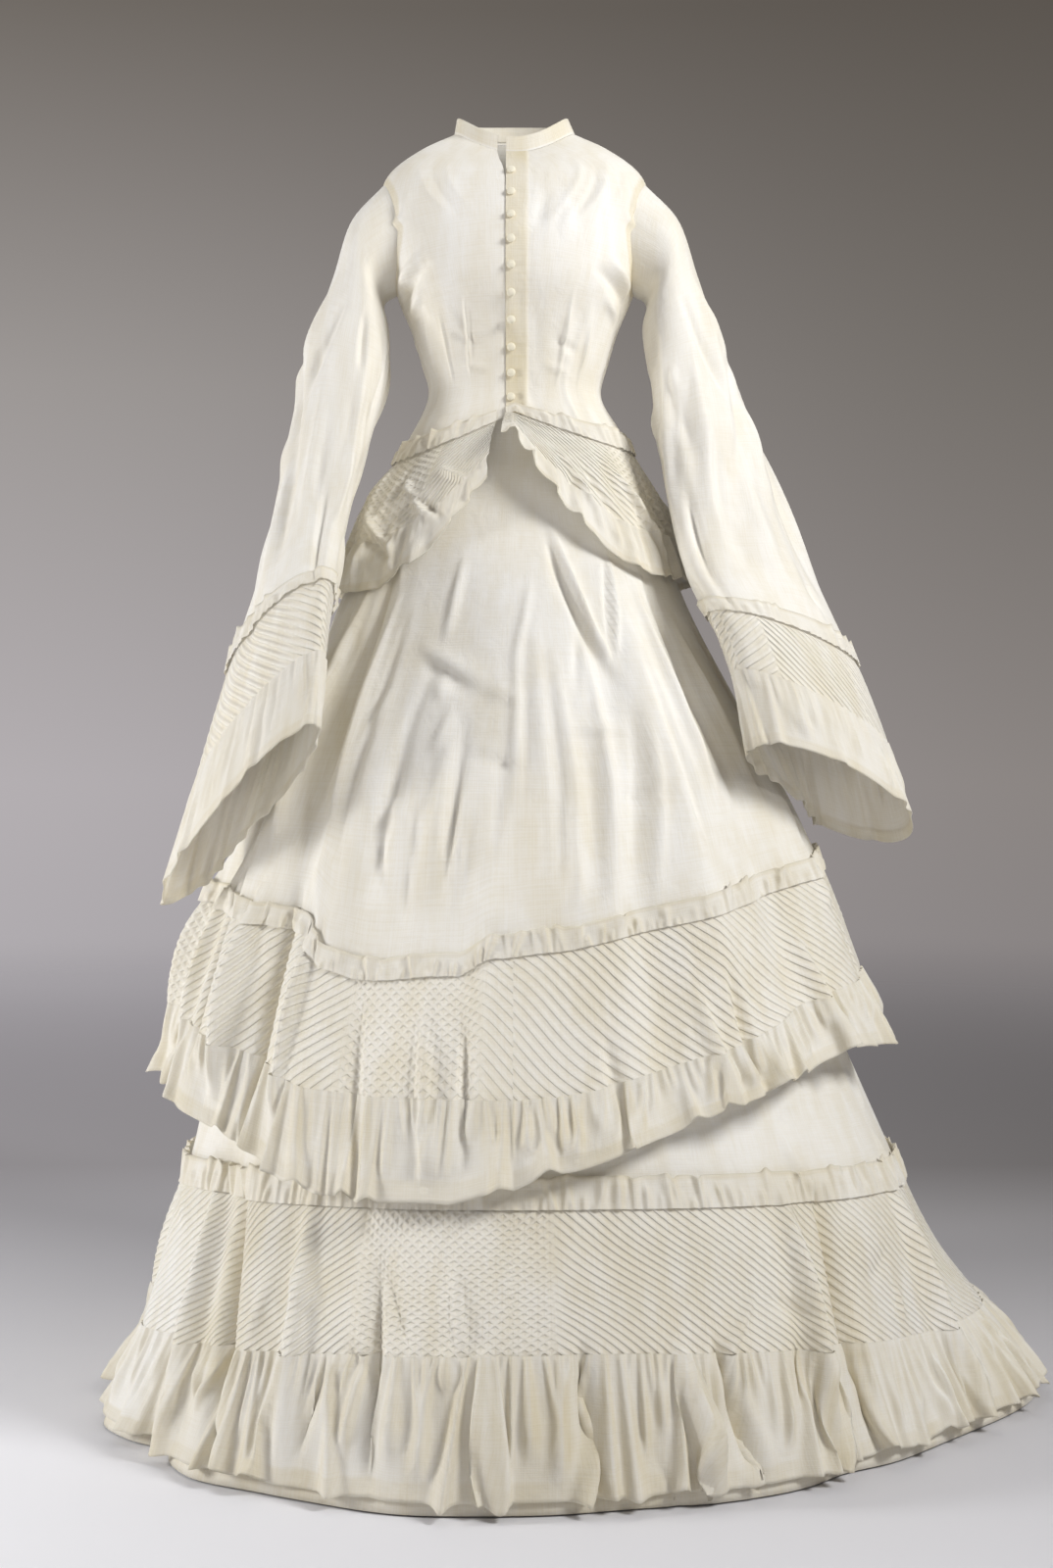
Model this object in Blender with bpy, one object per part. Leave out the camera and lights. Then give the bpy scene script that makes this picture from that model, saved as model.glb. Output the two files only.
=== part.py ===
"""A wedding dress of about 1870 in sheer white cotton: a buttoned basque bodice with pagoda sleeves, a draped
overskirt and a trained underskirt, all in the shape they have when worn, hollow and open.

Units are metres. +X is the wearer's left, -Y is the front, +Z is up. The pieces are worked out with heights above
the floor, and every point is then lowered by HOLD_HEIGHT, so that the origin is between the shoulder tips, where
the wearer's shoulders carry the dress.
"""

import math
from collections import namedtuple

import bmesh
import bpy
from mathutils import Matrix, Vector

# Driving sizes
HOLD_HEIGHT = 1.400  # floor to the line between the shoulder tips
WALL = 0.0015  # thickness of a layer of cloth
SEAM_GAP = 0.0003
FLOOR_CLEAR = 0.0018  # lowest place of the hem's outer face, so that its wall ends just above the floor
FULL_TURN = 2 * math.pi

# Rings of the bodice and skirts, top to bottom. z_ columns are heights above the floor at the centre front, the
# wearer's right, the wearer's left and the centre back; the next four are half sizes from the axis to those sides.
# swing moves the back of the ring towards the wearer's left. Where peak is given, the ring's height rises to a point
# at the centre front, within that many degrees.
Section = namedtuple("Section", "z_front z_right z_left z_back right left front back swing peak", defaults=(0.0, None))


def level(z, right, left, front, back):
    """A section whose height is the same all round."""
    return Section(z, z, z, z, right, left, front, back)


NECK_BASE = Section(1.420, 1.456, 1.456, 1.464, 0.070, 0.070, 0.060, 0.064)
COLLAR = [
    Section(1.438, 1.474, 1.474, 1.484, 0.067, 0.062, 0.060, 0.061),
    NECK_BASE,
]
BODICE = [
    NECK_BASE,
    Section(1.410, 1.437, 1.437, 1.440, 0.110, 0.110, 0.070, 0.076),
    Section(1.396, 1.406, 1.406, 1.412, 0.148, 0.148, 0.081, 0.085),
    Section(1.375, 1.370, 1.370, 1.380, 0.158, 0.158, 0.093, 0.093),
    Section(1.346, 1.332, 1.332, 1.346, 0.152, 0.152, 0.106, 0.099),
    Section(1.310, 1.294, 1.294, 1.310, 0.144, 0.144, 0.117, 0.099),
    Section(1.272, 1.262, 1.262, 1.270, 0.134, 0.134, 0.117, 0.094),
    level(1.232, 0.121, 0.121, 0.100, 0.087),
    level(1.190, 0.108, 0.108, 0.085, 0.080),
    level(1.154, 0.100, 0.100, 0.078, 0.074),
    Section(1.132, 1.096, 1.107, 1.116, 0.127, 0.126, 0.0815, 0.094, 0.0, 80),
    Section(1.122, 1.072, 1.084, 1.094, 0.140, 0.138, 0.083, 0.105, 0.0, 80),
]
PEPLUM = [
    BODICE[-1],
    Section(1.112, 1.030, 1.036, 1.045, 0.172, 0.168, 0.098, 0.215, 0.0, 66),
    Section(1.104, 0.978, 0.988, 1.000, 0.195, 0.189, 0.114, 0.292, 0.0, 58),
    Section(1.092, 0.922, 0.936, 0.945, 0.213, 0.206, 0.132, 0.345, 0.0, 54),
]
OVERSKIRT = [
    level(1.152, 0.0978, 0.0978, 0.0758, 0.0718),
    level(1.118, 0.101, 0.101, 0.0780, 0.0760),
    level(1.092, 0.112, 0.110, 0.0800, 0.0880),
    level(1.055, 0.136, 0.134, 0.089, 0.160),
    level(0.990, 0.168, 0.166, 0.108, 0.245),
    level(0.900, 0.205, 0.204, 0.146, 0.312),
    level(0.790, 0.258, 0.262, 0.190, 0.340),
    level(0.690, 0.300, 0.316, 0.228, 0.360),
    Section(0.549, 0.593, 0.632, 0.676, 0.336, 0.344, 0.279, 0.366),
    Section(0.525, 0.570, 0.610, 0.650, 0.345, 0.354, 0.288, 0.378),
    Section(0.385, 0.455, 0.490, 0.555, 0.384, 0.397, 0.338, 0.412),
    Section(0.288, 0.380, 0.414, 0.485, 0.404, 0.424, 0.372, 0.440),
]
UNDERSKIRT = [
    level(1.150, 0.0956, 0.0956, 0.0736, 0.0696),
    level(1.118, 0.0985, 0.0985, 0.0756, 0.0735),
    level(1.090, 0.106, 0.104, 0.0770, 0.0810),
    level(0.960, 0.158, 0.156, 0.108, 0.220),
    level(0.760, 0.246, 0.250, 0.182, 0.290),
    level(0.500, 0.322, 0.340, 0.272, 0.370),
    Section(0.311, 0.292, 0.288, 0.282, 0.368, 0.431, 0.339, 0.501, 0.017),
    Section(0.279, 0.260, 0.256, 0.250, 0.375, 0.445, 0.350, 0.520, 0.02),
    Section(0.147, 0.105, 0.105, 0.095, 0.415, 0.475, 0.398, 0.700, 0.05),
    Section(0.002, 0.002, 0.002, 0.002, 0.460, 0.500, 0.430, 0.920, 0.12),
]
SKIRT_COLUMNS = 56
UNDERSKIRT_BAND_ROW, FLOUNCE_ROW = 7, 8
APRON_BAND_ROW, APRON_FRILL_ROW = 9, 10
# The apron's heading, band and frill hang unevenly: how much higher these rings are, at these degrees round.
APRON_RISE_ANGLES = [-60, -42, -34, -28, -10, -3, 6, 21, 34, 56, 76, 100]
APRON_RISES = {
    8: [0.0, 0.0, -0.028, -0.034, -0.020, 0.0, 0.005, 0.012, 0.012, 0.006, 0.0, 0.0],
    9: [0.0, 0.0, -0.028, -0.034, -0.020, 0.0, 0.005, 0.012, 0.012, 0.006, 0.0, 0.0],
    10: [0.0, -0.006, -0.012, -0.010, 0.0, 0.002, 0.004, 0.012, 0.016, 0.018, 0.010, 0.0],
    11: [0.0, -0.008, -0.016, -0.018, -0.002, 0.010, 0.030, 0.046, 0.056, 0.042, 0.014, 0.0],
}
# The overskirt's back has rows between its rings too, for its puffs. These are places in the list of rings.
BACK_PLACES = [0, 1, 2, 3, 4, 4.5, 5, 5.33, 5.67, 6, 6.33, 6.67, 7, 8, 9]

# The largest folds, as soft ridges (depth above 0) and troughs (below 0). angle and width are degrees round the
# skirt, 0 at the centre front and growing towards the wearer's left. A fold grows from height begins to ends.
Fold = namedtuple("Fold", "angle width depth begins ends")
OVERSKIRT_FOLDS = [
    Fold(-74, 5, -0.012, 0.98, 0.55),
    Fold(-60, 5, 0.010, 0.98, 0.55),
    Fold(-46, 5, -0.012, 1.02, 0.60),
    Fold(-34, 4, 0.009, 1.00, 0.60),
    Fold(24, 5, -0.010, 1.02, 0.80),
    Fold(36, 4, 0.009, 1.00, 0.75),
    Fold(52, 5, -0.012, 0.98, 0.55),
    Fold(68, 6, 0.008, 0.95, 0.55),
    Fold(108, 6, -0.014, 0.90, 0.60),
    Fold(132, 7, 0.012, 0.90, 0.60),
    Fold(-108, 6, -0.014, 0.90, 0.60),
    Fold(-132, 7, 0.012, 0.90, 0.60),
]
UNDERSKIRT_FOLDS = [
    Fold(-72, 6, 0.012, 0.45, 0.15),
    Fold(-57, 5, -0.020, 0.50, 0.15),
    Fold(-43, 6, 0.010, 0.45, 0.15),
    Fold(-14, 8, 0.008, 0.40, 0.10),
    Fold(14, 8, -0.008, 0.40, 0.10),
    Fold(44, 6, -0.012, 0.45, 0.10),
    Fold(95, 22, 0.110, 0.25, 0.00),
    Fold(-112, 8, -0.022, 0.45, 0.15),
    Fold(-136, 8, 0.016, 0.45, 0.15),
    Fold(-162, 8, -0.020, 0.45, 0.15),
    Fold(136, 8, -0.020, 0.45, 0.15),
    Fold(162, 8, 0.016, 0.45, 0.15),
]
# The overskirt is looped up over the bustle in puffs across the back.
PUFF_COUNT, PUFF_DEPTH = 2, 0.042
PUFF_TOP, PUFF_BOTTOM = 0.94, 0.69

# Where the gores of the underskirt and the two parts of the overskirt end, as columns from the centre front
UNDERSKIRT_GORES = {
    "underskirt_front": (-6, 6),
    "underskirt_side_left": (6, 16),
    "underskirt_back_left": (16, 28),
    "underskirt_back_right": (28, 40),
    "underskirt_side_right": (40, 50),
}
OVERSKIRT_SIDE_COLUMN = 17
SIDE_SEAM_GAP = 0.0014  # wider, because the puffed back leaves this seam at its own slant

# Rings down a sleeve below its head. x, y and z are the centre, long and short are half sizes of the flattened
# tube, turn is how many degrees its front end turns in towards the body, and rise_ columns say how much higher
# the front end and the outer side lie than the centre.
SleeveRing = namedtuple("SleeveRing", "x y z long short turn rise_front rise_out")
LEFT_SLEEVE = [
    SleeveRing(0.1700, 0.000, 1.310, 0.058, 0.0260, 0, 0.000, 0.0480),
    SleeveRing(0.1835, 0.000, 1.262, 0.062, 0.0400, 6, 0.000, 0.0300),
    SleeveRing(0.1990, -0.005, 1.190, 0.066, 0.0460, 16, 0.000, 0.0150),
    SleeveRing(0.2220, -0.012, 1.107, 0.078, 0.0520, 30, 0.000, 0.0070),
    SleeveRing(0.2480, -0.030, 1.012, 0.096, 0.0500, 42, 0.005, 0.0000),
    SleeveRing(0.2740, -0.050, 0.932, 0.106, 0.0500, 46, 0.012, 0.0000),
    SleeveRing(0.2944, -0.065, 0.886, 0.1094, 0.0514, 47, 0.024, 0.0000),
    SleeveRing(0.3040, -0.072, 0.865, 0.111, 0.0520, 48, 0.030, 0.0000),
    SleeveRing(0.3330, -0.084, 0.785, 0.118, 0.0540, 48, 0.045, 0.0000),
    SleeveRing(0.3560, -0.088, 0.692, 0.125, 0.0560, 48, 0.052, 0.0180),
]
RIGHT_SLEEVE = [
    SleeveRing(0.1690, 0.000, 1.310, 0.058, 0.0250, 0, 0.000, 0.0480),
    SleeveRing(0.1800, 0.000, 1.262, 0.062, 0.0390, 5, 0.000, 0.0300),
    SleeveRing(0.1930, -0.005, 1.190, 0.064, 0.0460, 10, 0.000, 0.0150),
    SleeveRing(0.2120, -0.020, 1.107, 0.068, 0.0450, 18, 0.000, 0.0070),
    SleeveRing(0.2300, -0.052, 1.012, 0.072, 0.0420, 25, 0.010, 0.0000),
    SleeveRing(0.2440, -0.092, 0.932, 0.080, 0.0400, 31, 0.030, 0.0000),
    SleeveRing(0.2532, -0.114, 0.890, 0.0866, 0.0400, 36, 0.046, 0.0000),
    SleeveRing(0.2580, -0.125, 0.868, 0.090, 0.0400, 38, 0.055, 0.0000),
    SleeveRing(0.2790, -0.150, 0.768, 0.107, 0.0380, 44, 0.078, 0.0000),
    SleeveRing(0.2990, -0.166, 0.668, 0.125, 0.0400, 46, 0.098, 0.0000),
]
SLEEVE_COLUMNS = 20
# The sleeves hang outside these rings, which are clear of the bodice, peplum and overskirt.
SLEEVE_LIMITS = [
    level(1.120, 0.138, 0.138, 0.095, 0.120),
    level(1.030, 0.190, 0.186, 0.112, 0.230),
    level(0.978, 0.212, 0.206, 0.130, 0.305),
    level(0.922, 0.230, 0.223, 0.148, 0.355),
    level(0.860, 0.250, 0.252, 0.180, 0.355),
    level(0.790, 0.282, 0.286, 0.214, 0.370),
    level(0.690, 0.324, 0.340, 0.252, 0.385),
    level(0.600, 0.356, 0.368, 0.280, 0.400),
    level(0.500, 0.386, 0.400, 0.320, 0.420),
]

# Armholes, seen from the side. The sleeve's head goes just into its armhole and straight out before it swells.
ARMHOLE_Z, ARMHOLE_HALF_HEIGHT, ARMHOLE_HALF_DEPTH = 1.335, 0.063, 0.053
HEAD_IN, HEAD_OUT = 0.001, 0.002
CUTTER_REACH = 0.30
# Where on the bodice its side is looked for: places in BODICE, and degrees from the centre front
SIDE_PLACES, SIDE_ANGLES = (1.0, 7.0), (30, 150)
HALVINGS = 40

# Bodice seams, in degrees round from the centre front, for each ring of BODICE. The first is the shoulder seam and
# then the side seam; the second is the side-back seam, which leaves the armhole at its back.
SIDE_SEAM = [105, 105, 105, 104, 100, 97, 96, 95, 95, 95, 95, 95]
BACK_SEAM = [105, 105, 105, 110, 117, 124, 131, 138, 146, 152, 155, 156]
SIDE_BACK_FIRST_ROW = 3
FRONT_COLUMNS, SIDE_BACK_COLUMNS, BACK_COLUMNS = 11, 5, 6
COLLAR_COLUMNS, PLACKET_COLUMNS = 32, 2

# Front fastening
FRONT_EDGE = -0.0095  # the wearer's left front laps to here, just past the centre
NECK_GAPE, GAPE_END_ROW = 0.010, 3  # the under front falls away from that edge at the neck
PLACKET_ROWS = 5  # from GAPE_END_ROW down to the waist
PLACKET_START, PLACKET_END, PLACKET_BEHIND = -0.018, 0.008, 0.0024
BUTTON_COUNT, BUTTON_SPACING, LOWEST_BUTTON = 10, 0.0281, 1.1385
BUTTON_RADIUS, BUTTON_HALF_DEPTH = 0.0048, 0.0028
BUTTON_X = -0.0035
BUTTON_ANGLE = 20  # the buttons are within this many degrees of the centre front
BUTTON_SEGMENTS, BUTTON_RINGS = 8, 3

# Ruffles: points set into each facet of the cloth behind, and the depth of the waves where the strip is sewn and at
# its free edge. A wave takes POINTS_PER_WAVE points, two of them on its crest.
Ruffle = namedtuple("Ruffle", "per_facet sewn_depth free_depth")
POINTS_PER_WAVE = 4
FLOUNCE_RUFFLE = Ruffle(3, 0.003, 0.016)
APRON_FRILL_RUFFLE = Ruffle(2, 0.003, 0.012)
SKIRT_HEADING_RUFFLE = Ruffle(2, 0.003, 0.009)
APRON_HEADING_RUFFLE = Ruffle(2, 0.003, 0.007)
PEPLUM_FRILL_RUFFLE = Ruffle(2, 0.002, 0.008)
PEPLUM_HEADING_RUFFLE = Ruffle(1, 0.002, 0.006)
SLEEVE_FRILL_RUFFLE = Ruffle(2, 0.0015, 0.007)
SLEEVE_HEADING_RUFFLE = Ruffle(1, 0.002, 0.006)
LEAST_WAVE, WAVE_STEP = 0.7, 0.618  # the lowest wave as a share of the highest, and how its height changes
SEWN_LIFT, FREE_LIFT = 0.0024, 0.0050  # a heading's troughs, from the cloth behind to their outer face
FLOUNCE_SHORT = 0.012  # the plain hem shows this much below the flounce
FLOUNCE_LIFT = 0.006

LAWN = ("sheer_cotton_lawn", (0.90, 0.88, 0.80, 1.0), 0.85)
TUCKED = ("tucked_lawn", (0.87, 0.85, 0.76, 1.0), 0.85)
FRILLED = ("frilled_lawn", (0.92, 0.90, 0.83, 1.0), 0.85)
COVERED = ("covered_button", (0.93, 0.91, 0.86, 1.0), 0.55)


def clear_scene():
    for old in list(bpy.data.objects):
        bpy.data.objects.remove(old)


def collection(name):
    made = bpy.data.collections.new(name)
    bpy.context.scene.collection.children.link(made)
    return made


def material(kind):
    name, colour, roughness = kind
    made = bpy.data.materials.get(name)
    if made is None:
        made = bpy.data.materials.new(name)
        made.use_nodes = True
        shader = made.node_tree.nodes["Principled BSDF"]
        shader.inputs["Base Color"].default_value = colour
        shader.inputs["Roughness"].default_value = roughness
    return made


def smooth(share):
    share = min(1.0, max(0.0, share))
    return share * share * (3 - 2 * share)


def turned(angle):
    """The same angle between minus and plus half a turn."""
    return (angle + math.pi) % FULL_TURN - math.pi


def section_point(section, angle):
    """A point of a ring; angle is 0 at the centre front and grows towards the wearer's left."""
    angle = turned(angle)
    across, along = math.sin(angle), math.cos(angle)
    half_width = section.left if across > 0 else section.right
    side_z = section.z_left if across > 0 else section.z_right
    weight = along * along
    if along < 0:
        x = half_width * across + section.swing * weight
        return Vector((x, -section.back * along, side_z + (section.z_back - side_z) * weight))
    if section.peak is not None:
        weight = max(0.0, 1 - abs(math.degrees(angle)) / section.peak) ** 2
    return Vector((half_width * across, -section.front * along, side_z + (section.z_front - side_z) * weight))


def fold_push(folds, angle, z):
    """How far the folds move a point out, in metres."""
    pushed = 0.0
    for fold in folds:
        away = math.degrees(turned(angle - math.radians(fold.angle))) / fold.width
        grown = smooth((fold.begins - z) / (fold.begins - fold.ends))
        pushed += fold.depth * math.exp(-away * away) * grown
    return pushed


def puff_push(angle, z):
    """The looped-up puffs, which swell across the back only."""
    behind = max(0.0, -math.cos(angle))
    down = (PUFF_TOP - z) / (PUFF_TOP - PUFF_BOTTOM)
    if not 0 < down < 1:
        return 0.0
    return PUFF_DEPTH * behind * abs(math.sin(math.pi * PUFF_COUNT * down))


def apron_rise(place, angle):
    """How much higher the apron's ring is at this angle."""
    if place not in APRON_RISES:
        return 0.0
    rises, degrees = APRON_RISES[place], math.degrees(turned(angle))
    if not APRON_RISE_ANGLES[0] < degrees < APRON_RISE_ANGLES[-1]:
        return 0.0
    k = next(i for i, end in enumerate(APRON_RISE_ANGLES) if end > degrees)
    start, end = APRON_RISE_ANGLES[k - 1], APRON_RISE_ANGLES[k]
    return rises[k - 1] + (rises[k] - rises[k - 1]) * smooth((degrees - start) / (end - start))


def on_rings(sections, place, angle, folds=(), puffed=False):
    """The point at this angle, place rings down the list and pushed out by the folds."""
    row = min(int(place), len(sections) - 2)
    above, below = section_point(sections[row], angle), section_point(sections[row + 1], angle)
    at = above.lerp(below, place - row)
    pushed = fold_push(folds, angle, at.z) + (puff_push(angle, at.z) if puffed else 0.0)
    return at + Vector((at.x, at.y, 0.0)).normalized() * pushed


def even_angles(section, count):
    """Angles that share out a ring's length evenly, from the centre front round to the centre front."""
    fine = 720
    angles = [FULL_TURN * i / fine for i in range(fine + 1)]
    lengths = [0.0]
    for before, after in zip(angles, angles[1:]):
        lengths.append(lengths[-1] + (section_point(section, after) - section_point(section, before)).length)
    found, i = [], 0
    for k in range(count):
        wanted = lengths[-1] * k / count
        while lengths[i + 1] < wanted:
            i += 1
        found.append(angles[i] + (angles[i + 1] - angles[i]) * (wanted - lengths[i]) / (lengths[i + 1] - lengths[i]))
    return found


# A piece of cloth before it has a wall: rows of points on its outer face, top to bottom and running from the front
# towards the wearer's left, the outward normals there, and whether each row is a closed ring.
Sheet = namedtuple("Sheet", "points normals closed")


def sheet(points, closed):
    """A sheet through rows of points, with normals from each point's neighbours."""
    last_row, columns = len(points) - 1, len(points[0])
    normals = []
    for i, row in enumerate(points):
        upper, lower = points[max(i - 1, 0)], points[min(i + 1, last_row)]
        here = []
        for j in range(columns):
            if closed:
                before, after = row[j - 1], row[(j + 1) % columns]
            else:
                before, after = row[max(j - 1, 0)], row[min(j + 1, columns - 1)]
            here.append((lower[j] - upper[j]).cross(after - before).normalized())
        normals.append(here)
    return Sheet(points, normals, closed)


def part_of(whole, rows=None, columns=None):
    """A piece cut from a sheet: its rows first to last, and its columns first to last going round."""
    first, last = rows or (0, len(whole.points) - 1)
    points, normals = whole.points[first : last + 1], whole.normals[first : last + 1]
    if columns is None:
        return Sheet(points, normals, whole.closed)
    start, end = columns
    round_ = [j % len(whole.points[0]) for j in range(start, end + 1)]
    points = [[row[j] for j in round_] for row in points]
    normals = [[row[j] for j in round_] for row in normals]
    return Sheet(points, normals, False)


def toward(point, goal, distance):
    return point + (goal - point).normalized() * distance


def seamed(piece, top=False, bottom=False, ends=False, by=SEAM_GAP):
    """The piece with these edges drawn in, to leave a seam's gap."""
    points = [list(row) for row in piece.points]
    if top:
        points[0] = [toward(a, b, by / 2) for a, b in zip(points[0], points[1])]
    if bottom:
        points[-1] = [toward(a, b, by / 2) for a, b in zip(points[-1], points[-2])]
    if ends:
        for row in points:
            row[0], row[-1] = toward(row[0], row[1], by / 2), toward(row[-1], row[-2], by / 2)
    return Sheet(points, piece.normals, piece.closed)


def finer(piece, per_facet):
    """The same piece with each facet of its rows shared out into per_facet."""

    def split(row):
        found = []
        pairs = zip(row, row[1:] + row[:1]) if piece.closed else zip(row, row[1:])
        for a, b in pairs:
            found += [a.lerp(b, k / per_facet) for k in range(per_facet)]
        return found if piece.closed else found + [row[-1]]

    return Sheet([split(row) for row in piece.points], [split(row) for row in piece.normals], piece.closed)


def lifted(piece, lifts):
    """The piece moved outwards, by a distance for each row."""
    points = [
        [p + n * lift for p, n in zip(row, normals)]
        for row, normals, lift in zip(piece.points, piece.normals, lifts)
    ]
    return Sheet(points, piece.normals, piece.closed)


def ruffled(piece, depths):
    """The piece gathered into waves that stand out from it, with a depth for each row."""
    points = []
    for row, normals, depth in zip(piece.points, piece.normals, depths):
        waved = []
        for j, (p, n) in enumerate(zip(row, normals)):
            crest = j % POINTS_PER_WAVE in (1, 2)
            uneven = LEAST_WAVE + (1 - LEAST_WAVE) * ((j // POINTS_PER_WAVE * WAVE_STEP) % 1.0)
            waved.append(p + n * (depth * uneven if crest else 0.0))
        points.append(waved)
    return Sheet(points, piece.normals, piece.closed)


def wall(name, piece, kind, parts):
    """The solid of a piece of cloth, from its outer face inwards."""
    rows, columns = len(piece.points), len(piece.points[0])
    outer = [p for row in piece.points for p in row]
    inward = [n for row in piece.normals for n in row]
    inner = [p - n * WALL for p, n in zip(outer, inward)]
    vertices = [(p.x, p.y, max(p.z, SEAM_GAP) - HOLD_HEIGHT) for p in outer + inner]
    count = len(outer)
    spans = columns if piece.closed else columns - 1
    faces = []
    for i in range(rows - 1):
        for j in range(spans):
            # The same diagonal everywhere, so that cloth laid over cloth stays parallel to it.
            a, b = i * columns + j, i * columns + (j + 1) % columns
            for corners in ((a, a + columns, b + columns), (a, b + columns, b)):
                faces.append(corners)
                faces.append(tuple(count + k for k in reversed(corners)))
    for j in range(spans):
        a, b = j, (j + 1) % columns
        faces.append((a, b, count + b, count + a))
        a, b = a + (rows - 1) * columns, b + (rows - 1) * columns
        faces.append((b, a, count + a, count + b))
    if not piece.closed:
        for i in range(rows - 1):
            a, b = i * columns, (i + 1) * columns
            faces.append((b, a, count + a, count + b))
            a, b = a + columns - 1, b + columns - 1
            faces.append((a, b, count + b, count + a))
    mesh = bpy.data.meshes.new(name)
    mesh.from_pydata(vertices, [], faces)
    mesh.materials.append(material(kind))
    mesh.shade_smooth()
    made = bpy.data.objects.new(name, mesh)
    parts.objects.link(made)
    return made


def heading(name, upper, ruffle, parts):
    """A gathered strip sewn over the lower edge of the sheet above, with its free edge standing a row up."""
    last = len(upper.points) - 1
    strip = finer(part_of(upper, rows=(last - 1, last)), ruffle.per_facet)
    strip = ruffled(lifted(strip, (FREE_LIFT, SEWN_LIFT)), (ruffle.free_depth, ruffle.sewn_depth))
    return wall(name, strip, FRILLED, parts)


def frill(name, strip, ruffle, parts):
    """A gathered strip that hangs from its sewn upper edge."""
    strip = seamed(finer(strip, ruffle.per_facet), top=True, by=3 * SEAM_GAP)
    rows = len(strip.points)
    depths = [ruffle.sewn_depth + (ruffle.free_depth - ruffle.sewn_depth) * i / (rows - 1) for i in range(rows)]
    return wall(name, ruffled(strip, depths), FRILLED, parts)


def make_underskirt(parts):
    angles = even_angles(UNDERSKIRT[UNDERSKIRT_BAND_ROW], SKIRT_COLUMNS)
    rows = [
        [on_rings(UNDERSKIRT, place, angle, UNDERSKIRT_FOLDS) for angle in angles] for place in range(len(UNDERSKIRT))
    ]
    rows[-1] = [Vector((p.x, p.y, FLOOR_CLEAR)) for p in rows[-1]]
    skirt = sheet(rows, True)
    for name, columns in UNDERSKIRT_GORES.items():
        wall(name, seamed(part_of(skirt, columns=columns), ends=True), LAWN, parts)
    over = WALL + SEAM_GAP
    band = lifted(part_of(skirt, rows=(UNDERSKIRT_BAND_ROW, FLOUNCE_ROW)), (over, over))
    wall("underskirt_band", seamed(band, bottom=True), TUCKED, parts)
    flounce = part_of(skirt, rows=(FLOUNCE_ROW, len(rows) - 1))
    hem = [toward(low, high, FLOUNCE_SHORT) for high, low in zip(*flounce.points)]
    flounce = Sheet([flounce.points[0], hem], flounce.normals, True)
    frill("underskirt_flounce", lifted(flounce, (over, FLOUNCE_LIFT)), FLOUNCE_RUFFLE, parts)
    upper = part_of(skirt, rows=(0, UNDERSKIRT_BAND_ROW))
    upper = lifted(upper, [over] * len(upper.points))
    heading("underskirt_heading", upper, SKIRT_HEADING_RUFFLE, parts)


def make_overskirt(parts):
    angles = even_angles(OVERSKIRT[APRON_BAND_ROW], SKIRT_COLUMNS)

    def ring(place):
        found = []
        for angle in angles:
            at = on_rings(OVERSKIRT, place, angle, OVERSKIRT_FOLDS, place <= APRON_BAND_ROW)
            found.append(at + Vector((0, 0, apron_rise(place, angle))))
        return found

    skirt = sheet([ring(place) for place in range(len(OVERSKIRT))], True)
    side, other_side = OVERSKIRT_SIDE_COLUMN, SKIRT_COLUMNS - OVERSKIRT_SIDE_COLUMN
    front = part_of(skirt, rows=(0, APRON_BAND_ROW), columns=(-side, side))
    wall("overskirt_front", seamed(front, bottom=True, ends=True), LAWN, parts)
    puffs = sheet([ring(place) for place in BACK_PLACES], True)
    back = seamed(part_of(puffs, columns=(side, other_side)), ends=True, by=SIDE_SEAM_GAP)
    wall("overskirt_back", seamed(back, bottom=True), LAWN, parts)
    band = part_of(skirt, rows=(APRON_BAND_ROW, APRON_FRILL_ROW))
    wall("overskirt_band", seamed(band, top=True, bottom=True), TUCKED, parts)
    frill("overskirt_frill", part_of(skirt, rows=(APRON_FRILL_ROW, len(OVERSKIRT) - 1)), APRON_FRILL_RUFFLE, parts)
    heading("overskirt_heading", part_of(skirt, rows=(0, APRON_BAND_ROW)), APRON_HEADING_RUFFLE, parts)


def front_angles(x_for_row):
    """The angle of a line down the centre front that is so far across at each ring."""
    return [math.asin(x / section.left) for x, section in zip(x_for_row, BODICE)]


def front_edge_angles():
    """The lapped edge of the left front and the edge of the right front beside it, at each ring."""
    rings = len(BODICE)
    gape = [NECK_GAPE * smooth(1 - row / GAPE_END_ROW) for row in range(rings)]
    return front_angles([FRONT_EDGE] * rings), front_angles([FRONT_EDGE - SEAM_GAP - fallen for fallen in gape])


def spaced(start, end, columns):
    """Evenly spaced angles from start up to, but without, end."""
    return [start + (end - start) * k / columns for k in range(columns)]


def bodice_angles(ring):
    """The angles of all panels' columns at a ring, from the left front's edge round to the right front's."""
    left, right = (edge[ring] for edge in front_edge_angles())
    side, back = math.radians(SIDE_SEAM[ring]), math.radians(BACK_SEAM[ring])
    return (
        spaced(left, side, FRONT_COLUMNS)
        + spaced(side, back, SIDE_BACK_COLUMNS)
        + spaced(back, FULL_TURN - back, 2 * BACK_COLUMNS)
        + spaced(FULL_TURN - back, FULL_TURN - side, SIDE_BACK_COLUMNS)
        + spaced(FULL_TURN - side, FULL_TURN + right, FRONT_COLUMNS)
        + [FULL_TURN + right]
    )


def panel(first_row, starts, ends, columns):
    """Part of the bodice between two lines, given as an angle for each ring."""
    rows = []
    for section, start, end in list(zip(BODICE, starts, ends))[first_row:]:
        rows.append([section_point(section, start + (end - start) * k / columns) for k in range(columns + 1)])
    return sheet(rows, False)


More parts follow.
